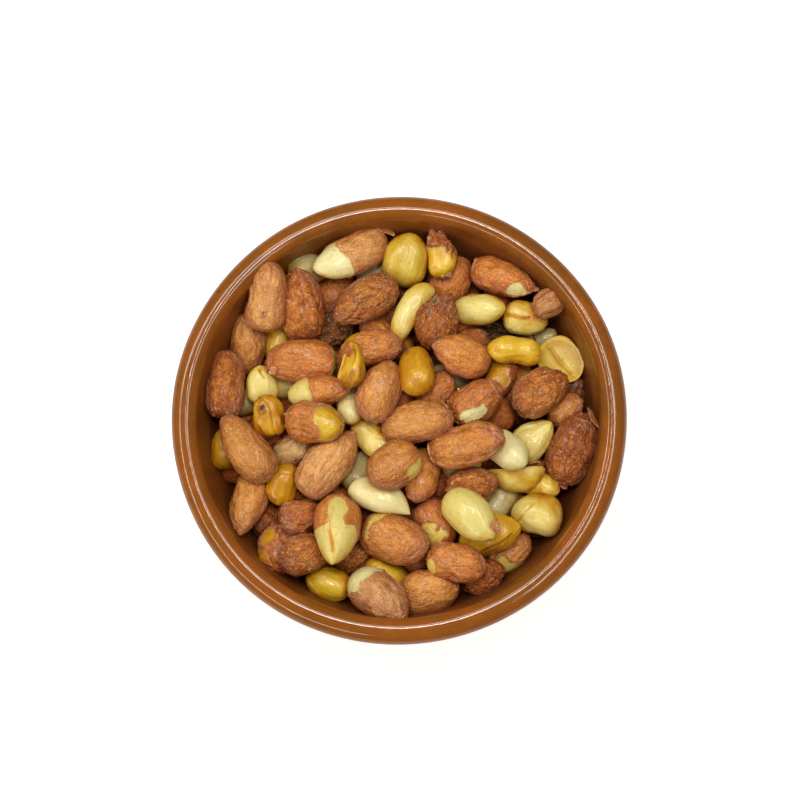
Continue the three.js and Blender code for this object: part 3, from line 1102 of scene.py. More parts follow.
# lower left
kernel("tan", (-27.4, -7.6), (12, 8.6), 30, 5, skin="sandy", salt=0.7)
kernel("golden", (-30.7, -16.0), (11, 8.5), 70, 3, flesh="amber", toast=0.3, blunt=1.0, lumpy=1.5,
       browned=[(-0.8, 0.3, 0.5), (0.5, -0.8, 0.5)])
kernel("tan", (-18.5, -10.6), (21, 11.6), 51, 0, skin="lightTan", point=1.0, blunt=0.3, salt=1.0,
       wrinkled=0.9)
kernel("golden", (-6.6, -4.8), (15, 9.4), -50, 4, flesh="pale", toast=-0.1,
       browned=[(-0.2, 0.8, 0.9), (0.5, 0.6, 0.6)])
kernel("peeled", (-1.7, -11.5), (14.5, 12), 215, 0, skin="orange", flesh="pale", toast=-0.2, salt=0.4,
       bare=[(-0.6, 0.95, 0.55, 0.55)])
kernel("tan", (6.1, -14.1), (15.5, 9.6), -105, 5, skin="orange", salt=0.2)
kernel("tan", (-39.3, -21.6), (19.5, 10), -102, 1, skin="tan", point=1.0, blunt=0.8, salt=0.1)
kernel("dark", (-33.9, -25.4), (13, 10), 60, 8, skin="darkRed")
kernel("peeled", (-25.7, -24.8), (12, 9.4), 10, 3, skin="darkRed", flesh="golden", salt=0.4,
       bare=[(-0.1, 0.8, 0.5, 0.25)], wrinkled=1.2, folded=0.4)
kernel("peeled", (-16.7, -28.7), (20.5, 11.8), -93, 0, skin="orange", flesh="pale", point=0.9, toast=-0.3,
       bare=[(0.95, 0, 0.85, 2.2), (0.0, 0.05, 0.8, 0.30)], creases=[(-0.05, 0.2, 0.6, 0.1)],
       browned=[(0.5, 0.1, 0.25)])
kernel("pale", (-4.8, -20.1), (18.3, 8.4), -25, 2, flesh="cream", bend=-1.2, toast=-0.5, point=0.9)
kernel("peeled", (-1.2, -30.8), (19.4, 12.6), -20, 0, skin="orange", flesh="pale", point=0.6, salt=0.3,
       toast=-0.2, bare=[(-0.5, 0.62, 0.26, 0.32), (-0.54, 0.05, 0.06, 0.42)])
kernel("peeled", (-32.5, -34.5), (13, 10.4), 100, 3, skin="red", flesh="amber", salt=0.1, folded=0.5,
       wrinkled=1.3, bare=[(0.6, 0.3, 0.25, 0.35), (-0.5, -0.5, 0.3, 0.35), (-0.2, 0.6, 0.2, 0.25)])
kernel("dark", (-24.7, -34.6), (13, 10.6), 20, 1, skin="redOrange", salt=0.5)
kernel("dark", (-11.4, -35.8), (13, 10), 40, 6, skin="red")
kernel("golden", (-18.4, -42.6), (12.8, 9), 160, 4, flesh="golden", toast=0.0, browned=[(-0.9, -0.6, 0.5)])
kernel("golden", (-3.0, -40.3), (14, 8), -20, 5, flesh="golden", toast=0.1)
kernel("peeled", (-5.2, -47.9), (18.8, 11.8), -42, 1, skin="dusty", flesh="cream", toast=-0.3, salt=0.3,
       bare=[(-1.0, 0.3, 0.6, 1.2)], folded=0.35, wrinkled=1.1, frills=[(0.93, 0.0, 0.7, 1.2, 0.2)])
kernel("pale", (-11.1, -12.8), (12, 8), 70, 9, flesh="greyPale")

# lower right
kernel("pale", (16.3, -11.8), (12, 8), 10, 7, flesh="pale")
kernel("dark", (19.0, -16.7), (14, 9.5), 10, 4, skin="redOrange")
kernel("pale", (18.8, -24.6), (17.5, 11.6), -45, 0, flesh="pale", point=0.6, blunt=0, toast=-0.2)
kernel("golden", (24.3, -30.4), (18.5, 10.5), 22, 2, flesh="golden", toast=-0.1, lumpy=2.6, point=0.9,
       folded=0.3, creases=[(-0.5, 0.1, 0.6, 0.2)], browned=[(0.2, -0.5, 0.5), (0.7, 0.2, 0.3)])
kernel("split", (30.2, -12.6), (15.2, 10.5), 182, 1, flesh="pale", half=True, flat=True, depth=13.5, roll=84,
       toast=-0.4, grooved=0.2)
kernel("golden", (36.8, -17.0), (10, 7), -20, 3, flesh="straw", toast=-0.1, lumpy=3.6, folded=0.5,
       wrinkled=1.6, browned=[(0.1, -0.6, 0.4)])
kernel("pale", (35.9, -24.6), (13.1, 11.5), 170, 0, flesh="pale", blunt=0.3, point=0.1, toast=-0.05,
       creases=[(0.1, 0.35, 0.3, 0.9)], browned=[(-0.3, -0.7, 0.6)])
kernel("pale", (26.3, -20.7), (12, 9), 60, 7, flesh="greyPale")
kernel("peeled", (9.5, -26.7), (13.5, 10.4), -62, 3, skin="red", flesh="pale", bare=[(0.35, -0.4, 0.45, 0.6)],
       toast=0.1)
kernel("peeled", (15.0, -36.9), (15.7, 9.8), -12, 1, skin="redOrange", flesh="pale", blunt=0.4, folded=0.35,
       bare=[(-0.85, -0.6, 0.3, 0.5)], salt=0.4)
kernel("peeled", (28.6, -34.5), (13.5, 10.4), 30, 6, skin="tan", flesh="pale", bare=[(-0.4, -0.7, 0.7, 0.7)],
       folded=0.4, wrinkled=1.2, salt=0.4)
kernel("dark", (21.6, -40.8), (12, 9), 20, 6, skin="red")
kernel("tan", (8.0, -44.2), (15.2, 11.8), 5, 1, skin="tan", salt=0.2)


# settling: each kernel is a row of balls, which come to lie clear of each other and of the wall; in mm
settleValues = {
    "balls": (-0.70, -0.37, 0.0, 0.37, 0.70),  # along half the kernel's length
    "ballSizes": (0.66, 0.90, 0.97, 0.90, 0.64),  # as shares of half its width
    "thin": 0.62,  # how thick a split half is, beside a whole kernel
    "whole": 0.97,
    "heapMiddle": (-3.2, 3.0),
    "crown": 45.0,  # height of the tops at the middle of the heap
    "shoulder": 37.6,  # and near the wall
    "shoulderRadius": 45.6,
    "carry": 1.2,  # how far a kernel moves for the mean push on its balls
    "tiltShare": 0.8,  # how much of the tilt that the pushes ask for it takes in a step
    "steps": 320,
    "sideways": 0.30,  # share of a push that moves a seen kernel sideways
    "wallSideways": 0.6,  # and of a push from the wall
    "hold": 0.30,  # how hard a seen kernel is held on its sight line
    "levelPull": 0.03,  # how hard it is drawn to its height
    "tiltKept": 0.99,  # how much of its tilt stays in a step
    "share": 0.5,  # of an overlap, for each of two kernels
    "fillerSteps": 160,
    "fillerShare": 0.9,  # of an overlap with a seen kernel
    "fillerPitch": 12.6,
    "fillerRowPitch": 0.87,  # as a share of the pitch
    "fillerShift": (-3, 3),
    "fillerLift": (-1.5, 1.5),
    "fillerLength": (14, 19),
    "fillerWidth": (9, 11),
    "fillerTilt": (-20, 20),
    "fillerWallGap": 5,
    "fillerLevels": (9.0, 17.5),
    "fillerDeeper": 6,
    "fillerRoom": 8.5,  # how far fillers stay under the heap's top
    "fillerOverlap": 1.6,  # fillers that stay deeper than this in a seen kernel are left out
    "steepest": 0.5,  # radians that a seen kernel may tilt
    "fillerSteepest": 0.6,
}


def heapSurface(x, y):
    # height of the kernels' tops over a place
    values = settleValues
    away = np.hypot(x - values["heapMiddle"][0], y - values["heapMiddle"][1])
    rise = values["crown"] - values["shoulder"]
    return values["shoulder"] + rise * (1 - (away / values["shoulderRadius"]) ** 2)


class Crowd:
    # kernels as rows of balls; their places, directions and tilts change as they settle
    def __init__(self, looks, places):
        self.looks = looks
        self.place = places
        self.size = np.array([look["size"] for look in looks], float)
        self.yaw = np.radians([look["turn"] for look in looks])
        self.pitch = np.radians([look.get("tilt", 0.0) for look in looks])
        self.lever = np.array(settleValues["balls"]) * self.size[:, :1] / 2
        thick = np.array([settleValues["thin" if look.get("half") else "whole"] for look in looks])
        self.radius = np.array(settleValues["ballSizes"]) * (self.size[:, 1] * thick / 2)[:, None]

    def centres(self):
        way = np.stack([
            np.cos(self.yaw) * np.cos(self.pitch), np.sin(self.yaw) * np.cos(self.pitch), np.sin(self.pitch),
        ], -1)
        return (self.place[:, None] + way[:, None] * self.lever[:, :, None]).reshape(-1, 3)

    def owners(self, start):
        # which kernel each ball belongs to
        return np.repeat(np.arange(len(self.looks)) + start, len(settleValues["balls"]))

    def follow(self, push, steepest):
        # moves and tilts each kernel as the pushes on its balls say
        push = push.reshape(-1, len(settleValues["balls"]), 3)
        self.place += push.mean(1) * settleValues["carry"]
        twist = (push[:, :, 2] * self.lever).sum(1) / (self.lever ** 2).sum(1)
        self.pitch = np.clip(self.pitch + twist * settleValues["tiltShare"], -steepest, steepest)


def wallPush(centres, radius):
    # how each ball moves to clear the bowl's inner wall and lip
    power = bowlValues["innerFullness"]
    out = np.hypot(centres[:, 0], centres[:, 1]) + 1e-6
    down = np.maximum(lipHeight - centres[:, 2], 1e-6)
    level = ((out / mouthRadius) ** power + (down / innerDepth) ** power) ** (1 / power)
    slopeOut = (out / mouthRadius) ** (power - 1) / mouthRadius
    slopeDown = (down / innerDepth) ** (power - 1) / innerDepth
    slope = np.hypot(slopeOut, slopeDown)
    gap = (1 - level) * level ** (power - 1) / slope
    deep = np.clip(radius - gap, 0, None)
    below = centres[:, 2] < lipHeight
    # above the wall the ball meets the round lip
    across = out - lipMiddle
    above = centres[:, 2] - lipHeight
    reach = np.hypot(across, above) + 1e-6
    lipDeep = np.clip(radius + lipRadius - reach, 0, None)
    outward = np.where(below, -slopeOut / slope * deep, across / reach * lipDeep)
    upward = np.where(below, slopeDown / slope * deep, above / reach * lipDeep)
    return np.stack([outward * centres[:, 0] / out, outward * centres[:, 1] / out, upward], -1)


def contactPush(first, firstRadius, firstOwner, second, secondRadius, secondOwner):
    # pushes on the first balls from the second, and the deepest overlap
    away = first[:, None] - second[None]
    gap = np.sqrt((away ** 2).sum(-1)) + 1e-6
    deep = firstRadius[:, None] + secondRadius[None] - gap
    deep = np.where((deep > 0) & (firstOwner[:, None] != secondOwner[None]), deep, 0)
    push = (away / gap[..., None] * deep[..., None]).sum(1)
    return push, deep.max(1)


def settleSeen(looks):
    # the kernels that show keep to their sight lines and find their heights
    values = settleValues
    seen = np.array([look["place"] for look in looks], float)
    level = np.array([look["level"] for look in looks], float)
    width = np.array([look["size"][1] for look in looks], float)
    wanted = np.full(len(seen), bowlHeight - 6.0)
    # the height wanted and the place on the sight line depend on each other
    for _ in range(3):
        spot = sightPlaces(seen, wanted)
        wanted = heapSurface(spot[:, 0], spot[:, 1]) - width / 2 - level
    crowd = Crowd(looks, sightPlaces(seen, wanted))
    owners = crowd.owners(0)
    radius = crowd.radius.ravel()
    free = np.array([not look.get("flat") for look in looks])
    for _ in range(values["steps"]):
        centres = crowd.centres()
        push, deepest = contactPush(centres, radius, owners, centres, radius, owners)
        push *= np.array([values["sideways"], values["sideways"], 1.0]) * values["share"]
        push += wallPush(centres, radius) * np.array([values["wallSideways"], values["wallSideways"], 1.0])
        crowd.follow(push, values["steepest"])
        crowd.pitch *= values["tiltKept"] * free
        crowd.place[:, 2] += (wanted - crowd.place[:, 2]) * values["levelPull"]
        target = sightPlaces(seen, crowd.place[:, 2])
        crowd.place[:, :2] += (target - crowd.place)[:, :2] * values["hold"]
    drift = np.hypot(*(sightPlaces(seen, crowd.place[:, 2]) - crowd.place)[:, :2].T)
    print(f"seen kernels settled: overlap {deepest.mean():.2f} mm mean, {deepest.max():.2f} most,",
          f"off their sight lines {drift.mean():.2f} mean, {drift.max():.2f} most")
    return crowd


def fillerLooks(chance):
    # kernels under the ones that show
    values = settleValues
    looks = []
    places = []
    for level in values["fillerLevels"]:
        reach = int(mouthRadius / values["fillerPitch"]) + 1
        for row in range(-reach, reach + 1):
            for column in range(-reach, reach + 1):
                x = (column + 0.5 * (row % 2)) * values["fillerPitch"]
                x += chance.uniform(*values["fillerShift"])
                y = row * values["fillerPitch"] * values["fillerRowPitch"]
                y += chance.uniform(*values["fillerShift"])
                z = heapSurface(x, y) - values["fillerDeeper"] - level + chance.uniform(*values["fillerLift"])
                if math.hypot(x, y) > mouthRadius - values["fillerWallGap"]:
                    continue
                size = (chance.uniform(*values["fillerLength"]), chance.uniform(*values["fillerWidth"]))
                skin = chance.choice(["red", "redOrange", "darkRed", "orange", "brown"])
                look = dict(kind="under", size=size, turn=chance.uniform(0, 360), covered=True, skin=skin)
                look["tilt"] = chance.uniform(*values["fillerTilt"])
                looks.append(look)
                places.append((x, y, z))
    return looks, np.array(places)


def settleFillers(chance, seenCrowd):
    # the plainer kernels below; gives back which of them found room
    values = settleValues
    crowd = Crowd(*fillerLooks(chance))
    owners = crowd.owners(0)
    radius = crowd.radius.ravel()
    seenBalls = (seenCrowd.centres(), seenCrowd.radius.ravel(), seenCrowd.owners(len(crowd.looks)))
    for _ in range(values["fillerSteps"]):
        centres = crowd.centres()
        push, _ = contactPush(centres, radius, owners, centres, radius, owners)
        hard, deepest = contactPush(centres, radius, owners, *seenBalls)
        push = push * values["share"] + hard * values["fillerShare"] + wallPush(centres, radius)
        crowd.follow(push, values["fillerSteepest"])
        top = heapSurface(crowd.place[:, 0], crowd.place[:, 1]) - values["fillerRoom"] - crowd.size[:, 1] / 2
        crowd.place[:, 2] = np.minimum(crowd.place[:, 2], top)
    keep = deepest.reshape(len(crowd.looks), -1).max(1) < values["fillerOverlap"]
    print(f"fillers settled: {keep.sum()} kept of {len(keep)}")
    return crowd, np.flatnonzero(keep)


# one piece for each kind of kernel
pieceNames = {
    "tan": "kernels_tan_skin",
    "dark": "kernels_dark_skin",
    "peeled": "kernels_part_peeled",
    "pale": "kernels_pale",
    "golden": "kernels_golden",
    "split": "kernels_split",
    "under": "kernels_underlayer",
}


def tinted(color, jitter, chance, count):
    shade = 1 + chance.uniform(-jitter, jitter)
    warm = 1 + chance.uniform(-jitter, jitter) * 0.4
    made = np.array([color[0] * shade, color[1] * shade * warm, color[2] * shade * warm, 1.0])
    return np.repeat(made[None], count, 0)


def contactShading(points, balls, sizes):
    # painted shade: 1 where a kernel's surface touches one of the others, given as balls, down to 0 a few mm
    # off
    longest = 14  # mm from a kernel's middle to where others can be near it
    close = np.sqrt(((balls - points.mean(0)) ** 2).sum(1)) < sizes + longest
    away = np.sqrt(((points[:, None] - balls[None, close]) ** 2).sum(-1)) - sizes[close]
    return np.exp(-(np.clip(away.min(1), 0, None) / formValues["contactShadeReach"]) ** 2)


def addKernel(gathered, look, crowd, i, detail, others, chance):
    # one kernel of a crowd into its kind's piece; gives back its points and marks for salt and scraps
    points, marks = kernelForm(look, *detail, chance)
    count = len(points)
    faces = gridFaces(*detail, count - 2, count - 1)
    turn = (crowd.yaw[i], crowd.pitch[i], math.radians(look.get("roll", chance.uniform(-8, 8))))
    settled = turned(points, *turn) + crowd.place[i]
    marks["normal"] = turned(marks["normal"], *turn)
    marks["axis"] = turned(np.array([[1.0, 0, 0]]), *turn)[0]
    flesh = look.get("flesh", "pale")
    gathered.add(settled, faces, {
        "place": points + chance.uniform(-400, 400, 3),  # mm, so that no two kernels have the same pattern
        "skinTint": tinted(skinTints[look.get("skin", "tan")], 0.06, chance, count),
        "fleshTint": tinted(fleshTints[flesh], 0.04, chance, count),
        "edgeTint": tinted(edgeTints[flesh], 0.04, chance, count),
        "skinField": marks["field"],
        "seam": marks["seam"],
        "toast": marks["toast"],
        # painted shade: darker to the sides, and where other kernels are near
        "shade": marks["shade"],
        "contactShade": contactShading(settled, *others),
        "salty": np.full(count, look.get("salt", kindHabits[look["kind"]]["salt"])),
    })
    return settled, marks


def makeKernels():
    seenCrowd = settleSeen(kernelLooks)
    fillers, kept = settleFillers(np.random.default_rng(20), seenCrowd)
    seenCount = len(kernelLooks)
    owners = np.concatenate([seenCrowd.owners(0), fillers.owners(seenCount)])
    solid = (owners < seenCount) | np.isin(owners, kept + seenCount)  # the balls of kernels that stay
    owners = owners[solid]
    balls = np.concatenate([seenCrowd.centres(), fillers.centres()])[solid]
    sizes = np.concatenate([seenCrowd.radius.ravel(), fillers.radius.ravel()])[solid]
    pieces = {kind: Gathered() for kind in pieceNames}
    fine = (formValues["rings"], formValues["sides"])
    plain = (formValues["deepRings"], formValues["deepSides"])
    shown = []
    for i, look in enumerate(kernelLooks):
        others = (balls[owners != i], sizes[owners != i])
        chance = np.random.default_rng(1000 + i)
        made = addKernel(pieces[look["kind"]], look, seenCrowd, i, fine, others, chance)
        shown.append((look, *made))
    for i in kept:
        others = (balls[owners != i + seenCount], sizes[owners != i + seenCount])
        chance = np.random.default_rng(5000 + i)
        addKernel(pieces["under"], fillers.looks[i], fillers, i, plain, others, chance)
    finishes = {
        "tan": makeSkinMaterial("tan_skin", "tan"),
        "dark": makeSkinMaterial("dark_skin", "dark"),
        "peeled": makePeeledMaterial("torn_skin"),
        "pale": makeFleshMaterial("pale_flesh", finishValues["fleshOil"]),
        "golden": makeFleshMaterial("golden_flesh", finishValues["goldenOil"]),
        "split": makeFleshMaterial("split_flesh", finishValues["splitOil"]),
        # the kernels below are painted darker, for the shade they lie in
        "under": makeSkinMaterial("under_skin_shade", "under"),
    }
    for kind, gathered in pieces.items():
        partOfHeap(gathered.make(pieceNames[kind], finishes[kind]))
    return shown


shownKernels = makeKernels()


# loose skin on the kernels; sizes in mm
scrapValues = {
    "thickness": 0.14,
    "rootDepth": 0.12,  # how far a frill's root lies in the kernel
    "rootBack": 0.25,  # and how far back from where the frill starts
    "clearance": 0.15,  # of a scrap, over the kernel below
    "rows": 7,
    "columns": 13,
    "ruffle": 0.2,
    "ruffleSize": 2.2,
    "raggedSize": 2.0,
    "looseCount": 8,
    "looseSize": (0.8, 1.8),
}

# scraps that can be told apart: place in the picture, length and width, turn, lift of the free edge, tint
scrapLooks = [
    ((-4.0, 50.0), (7.0, 1.8), 2, 0.5, "lightTan"),
    ((50.4, 0.2), (7.5, 3.4), 105, 1.2, "red"),
    ((35.2, -10.7), (3.4, 2.6), 40, 0.8, "lightTan"),
    ((-12.0, 26.0), (4.4, 2.2), 15, 0.8, "red"),
    ((12.4, 7.0), (3.0, 2.2), 30, 0.8, "orange"),
    ((-33.0, 13.4), (2.6, 2.0), 200, 0.8, "lightTan"),
    ((25.0, -27.2), (3.4, 2.8), -50, 0.5, "lightTan"),
    ((34.9, 35.0), (3.4, 1.8), -25, 0.6, "red"),
    ((11.8, 4.2), (3.2, 2.0), 80, 1.0, "lightTan"),
    ((-2.0, 20.4), (2.6, 1.8), 60, 1.0, "lightTan"),
    ((9.0, 46.6), (3.4, 1.8), 150, 0.8, "red"),
    ((12.0, 46.0), (3.0, 1.6), 60, 0.8, "red"),
    ((13.6, 43.6), (3.0, 1.4), 100, 0.7, "red"),
    ((7.4, 30.2), (2.4, 1.0), 120, 1.2, "red"),
    ((9.2, 31.0), (2.6, 1.0), 60, 1.3, "brown"),
    ((11.4, 30.6), (2.4, 1.0), 100, 1.2, "red"),
    ((8.2, 28.8), (2.2, 0.9), 80, 1.0, "brown"),
    ((10.4, 28.8), (2.2, 0.9), 110, 1.0, "darkRed"),
    ((12.6, 28.6), (2.0, 0.9), 70, 1.0, "brown"),
    # a flat near-black scrap for a small hole in the kernel below: painted shade
    ((-35.6, 3.2), (1.5, 1.2), 30, 0.1, "burnt"),
    ((-17.4, 8.9), (0.9, 0.8), 0, 0.1, "burnt"),
]


def sheetFaces(rows, columns):
    # faces of a thin closed sheet: an upper and a lower grid of points and the edge between them
    below = rows * columns
    faces = []
    for row in range(rows - 1):
        for column in range(columns - 1):
            corner = row * columns + column
            face = (corner, corner + 1, corner + columns + 1, corner + columns)
            faces.append(face)
            faces.append(tuple(point + below for point in reversed(face)))
    edge = list(range(columns))
    edge += [row * columns + columns - 1 for row in range(1, rows)]
    edge += [(rows - 1) * columns + column for column in range(columns - 2, -1, -1)]
    edge += [row * columns for row in range(rows - 2, 0, -1)]
    for here, there in zip(edge, edge[1:] + edge[:1]):
        faces.append((there, here, here + below, there + below))
    return faces


def addSheet(gathered, grid, normal, rim, tint, chance):
    # grid is rows by columns of points; normal and rim hold one entry for each
    rows, columns = grid.shape[:2]
    half = normal.reshape(-1, 3) * scrapValues["thickness"] / 2
    flat = grid.reshape(-1, 3)
    points = np.concatenate([flat + half, flat - half])
    gathered.add(points, sheetFaces(rows, columns), {
        "place": points + chance.uniform(-400, 400, 3),
        "skinTint": tinted(skinTints[tint], 0.08, chance, len(points)),
        "seam": np.full(len(points), far),
        # a fixed share of the painted side shade
        "shade": np.full(len(points), 0.3),
        "contactShade": np.zeros(len(points)),
        "rim": np.tile(rim.ravel(), 2) * (tint != "burnt"),
    })


def addFrill(gathered, look, settled, marks, frill, chance):
    # skin that stands off one end of a kernel: where it starts, its middle and half width, reach and lift
    start, middle, spread, reach, lift = frill
    values = scrapValues
    rings, sides = formValues["rings"], formValues["sides"]
    along = marks["along"][:-2].reshape(rings, sides)[:, 0]
    ring = int(np.argmin(np.abs(along - start)))
    across = marks["across"][:-2].reshape(rings, sides)[ring]
    order = np.argsort(across)
    order = order[np.abs(across[order] - middle) <= spread]
    root = settled[:-2].reshape(rings, sides, 3)[ring][order]
    out = marks["normal"][:-2].reshape(rings, sides, 3)[ring][order]
    way = marks["axis"] * (1 if start > 0 else -1)
    share = np.linspace(0, 1, len(order))
    ragged = 0.75 + 0.3 * softNoise(root, values["raggedSize"], chance)
    length = reach * np.clip(ragged, 0.3, 1.2) * np.sin(math.pi * (0.04 + 0.92 * share))
    ruffle = softNoise(root, values["ruffleSize"], chance) * values["ruffle"]
    steps = np.linspace(0, 1, values["rows"])[:, None]
    grid = root[None] - values["rootDepth"] * out[None] * (1 - steps[..., None])
    grid = grid + way * (length * steps - values["rootBack"])[..., None]
    grid = grid + out[None] * ((lift * reach * 0.5 + ruffle) * steps ** 1.4)[..., None]
    rim = np.repeat(steps ** 2, len(order), 1)
    addSheet(gathered, grid, np.repeat(out[None], values["rows"], 0), rim, look.get("skin", "tan"), chance)


def addScrap(gathered, place, normal, size, turn, lift, tint, chance):
    # a leaf-shaped scrap that lies on a kernel and curls up at its far side
    length, width = size
    rows, columns = scrapValues["rows"], scrapValues["columns"]
    u = np.linspace(-1, 1, columns)[None] * np.ones((rows, 1))
    v = np.linspace(-1, 1, rows)[:, None] * np.ones((1, columns))
    narrowing = np.clip(1 - np.abs(u) ** 2.4, 0.02, 1) ** 0.5
    flat = np.stack([u * length / 2, v * width / 2 * narrowing, np.zeros_like(u)], -1)
    shift = softNoise(flat.reshape(-1, 3), scrapValues["raggedSize"], chance).reshape(rows, columns)
    flat[..., 1] += 0.18 * width * shift * np.abs(v)
    flat[..., 0] += 0.10 * length * shift * np.abs(u) ** 2
    curl = lift * (0.5 + 0.5 * v) ** 2 + 0.25 * lift * u ** 2
    flat[..., 2] = scrapValues["clearance"] + curl + scrapValues["ruffle"] * 0.5 * shift
    spin = np.array([math.cos(math.radians(turn)), math.sin(math.radians(turn)), 0])
    first = spin - normal * (spin @ normal)
    first /= np.linalg.norm(first)
    frameAxes = np.stack([first, np.cross(normal, first), normal])
    grid = flat @ frameAxes + place
    rim = np.maximum(np.abs(u) ** 3, np.abs(v) ** 2)
    addSheet(gathered, grid, np.repeat(normal[None], rows * columns, 0), rim, tint, chance)


def shownSurface():
    # points and outward directions of all kernels that show, how salty each is, and how far from its ends
    points = np.concatenate([settled[:-2] for _, settled, _ in shownKernels])
    out = np.concatenate([marks["normal"][:-2] for _, _, marks in shownKernels])
    salty = [look.get("salt", kindHabits[look["kind"]]["salt"]) for look, _, _ in shownKernels]
    salt = np.repeat(salty, [len(settled) - 2 for _, settled, _ in shownKernels])
    room = np.concatenate([1 - marks["along"][:-2] ** 2 for _, _, marks in shownKernels])
    return points, out, salt, room


def highestAt(points, seen, spot):
    # the point nearest the camera among those that show close to a place in the picture
    away = np.hypot(*(seen - np.array(spot)).T)
    close = np.flatnonzero(away < max(0.5, away.min() + 0.05))
    return close[np.argmax(points[close] @ np.array(seenBack))]


def makeScraps():
    chance = np.random.default_rng(41)
    gathered = Gathered()
    for look, settled, marks in shownKernels:
        for frill in look.get("frills", ()):
            addFrill(gathered, look, settled, marks, frill, chance)
    points, out, salt, room = shownSurface()
    seen = pictureOf(points)
    for spot, size, turn, lift, tint in scrapLooks:
        here = highestAt(points, seen, spot)
        addScrap(gathered, points[here], out[here], size, turn, lift, tint, chance)
    weight = room * (out[:, 2] > 0.2) * (salt > 0.01)  # none on bare kernels
    for here in chance.choice(len(points), scrapValues["looseCount"], p=weight / weight.sum()):
        length = chance.uniform(*scrapValues["looseSize"])
        tint = chance.choice(["lightTan", "orange", "red", "darkRed"])
        size = (length, length * chance.uniform(0.4, 0.8))
        addScrap(gathered, points[here], out[here], size, chance.uniform(0, 360), 0.3 * length, tint, chance)
    partOfHeap(gathered.make("skin_scraps", makeScrapMaterial()))


# salt and crumbs on the kernels; sizes in mm
saltValues = {
    "grains": 300,
    "size": (0.14, 0.38),
    "proud": 0.15,  # how far a grain's middle stands out, as a share of its size
    "patchSize": 4.0,
    "crumbs": 6,
    "crumbSize": (0.4, 0.9),
    "crumbProud": 0.3,
}

cubeCorners = np.array([(x, y, z) for x in (-1, 1) for y in (-1, 1) for z in (-1, 1)], float)
cubeFaces = [(0, 1, 3, 2), (4, 6, 7, 5), (0, 4, 5, 1), (2, 3, 7, 6), (0, 2, 6, 4), (1, 5, 7, 3)]


def randomTurn(chance):
    first = chance.normal(size=3)
    first /= np.linalg.norm(first)
    second = np.cross(first, chance.normal(size=3))
    second /= np.linalg.norm(second)
    return np.stack([first, second, np.cross(first, second)])


def makeSalt():
    # broken cubes of salt, on the upper faces of the kernels
    values = saltValues
    chance = np.random.default_rng(43)
    points, out, salt, room = shownSurface()
    patch = np.clip(softNoise(points, values["patchSize"], chance), 0.08, None) ** 2
    weight = room * salt * patch * np.clip(out[:, 2] - 0.1, 0, None)
    gathered = Gathered()
    for here in chance.choice(len(points), values["grains"], p=weight / weight.sum()):
        size = values["size"][0] + (values["size"][1] - values["size"][0]) * chance.random() ** 2
        shape = cubeCorners * chance.uniform(0.6, 1.0, 3) + chance.uniform(-0.3, 0.3, (8, 3))
        place = points[here] + out[here] * size * values["proud"]
        grain = shape * size / 2 @ randomTurn(chance) + place
        gathered.add(grain, cubeFaces, {})
    partOfHeap(gathered.make("salt_grains", makeSaltMaterial()))


def makeCrumbs():
    # broken bits of bare kernel
    values = saltValues
    chance = np.random.default_rng(47)
    points, out, _, room = shownSurface()
    weight = room * (out[:, 2] > 0.1) * (out[:, 2] < 0.8)
    gathered = Gathered()
    rings, sides = 9, 12
    faces = gridFaces(rings, sides, rings * sides, rings * sides + 1)
    turn = np.repeat(np.linspace(0, math.pi, rings + 2)[1:-1], sides)
    angle = np.tile(np.linspace(0, 2 * math.pi, sides, endpoint=False), rings)
    ball = np.stack([np.cos(turn), np.sin(turn) * np.cos(angle), np.sin(turn) * np.sin(angle)], -1)
    ball = np.concatenate([ball, [[1.0, 0, 0], [-1.0, 0, 0]]])
    for here in chance.choice(len(points), values["crumbs"], p=weight / weight.sum()):
        size = chance.uniform(*values["crumbSize"])
        shape = ball * chance.uniform(0.6, 1.0, 3)
        shape = shape * (1 + 0.35 * softNoise(ball * 4, 4.0, chance))[:, None]
        place = points[here] + out[here] * size * values["crumbProud"]
        crumb = shape * size / 2 @ randomTurn(chance) + place
        count = len(crumb)
        gathered.add(crumb, faces, {
            "place": crumb + chance.uniform(-400, 400, 3),
            "fleshTint": tinted(fleshTints["pale"], 0.08, chance, count),
            "edgeTint": tinted(edgeTints["golden"], 0.08, chance, count),
            "toast": np.full(count, chance.uniform(-0.2, 0.6)),
            "seam": np.full(count, far),
            "contactShade": np.zeros(count),
            "salty": np.zeros(count),
        })
    partOfHeap(gathered.make("peanut_crumbs", makeFleshMaterial("crumb_flesh", finishValues["fleshOil"])))


makeScraps()
makeSalt()
makeCrumbs()

# the dark core of the heap, below the loose kernels, painted near black for the shade deep in the heap; sizes
# in mm
coreValues = {
    "wallGap": 0.8,
    "top": 20.0,  # in the middle
    "edge": 15.0,  # at the wall
    "around": 96,
    "steps": 30,
    "lumps": 1.3,
    "lumpSize": 6.0,
}


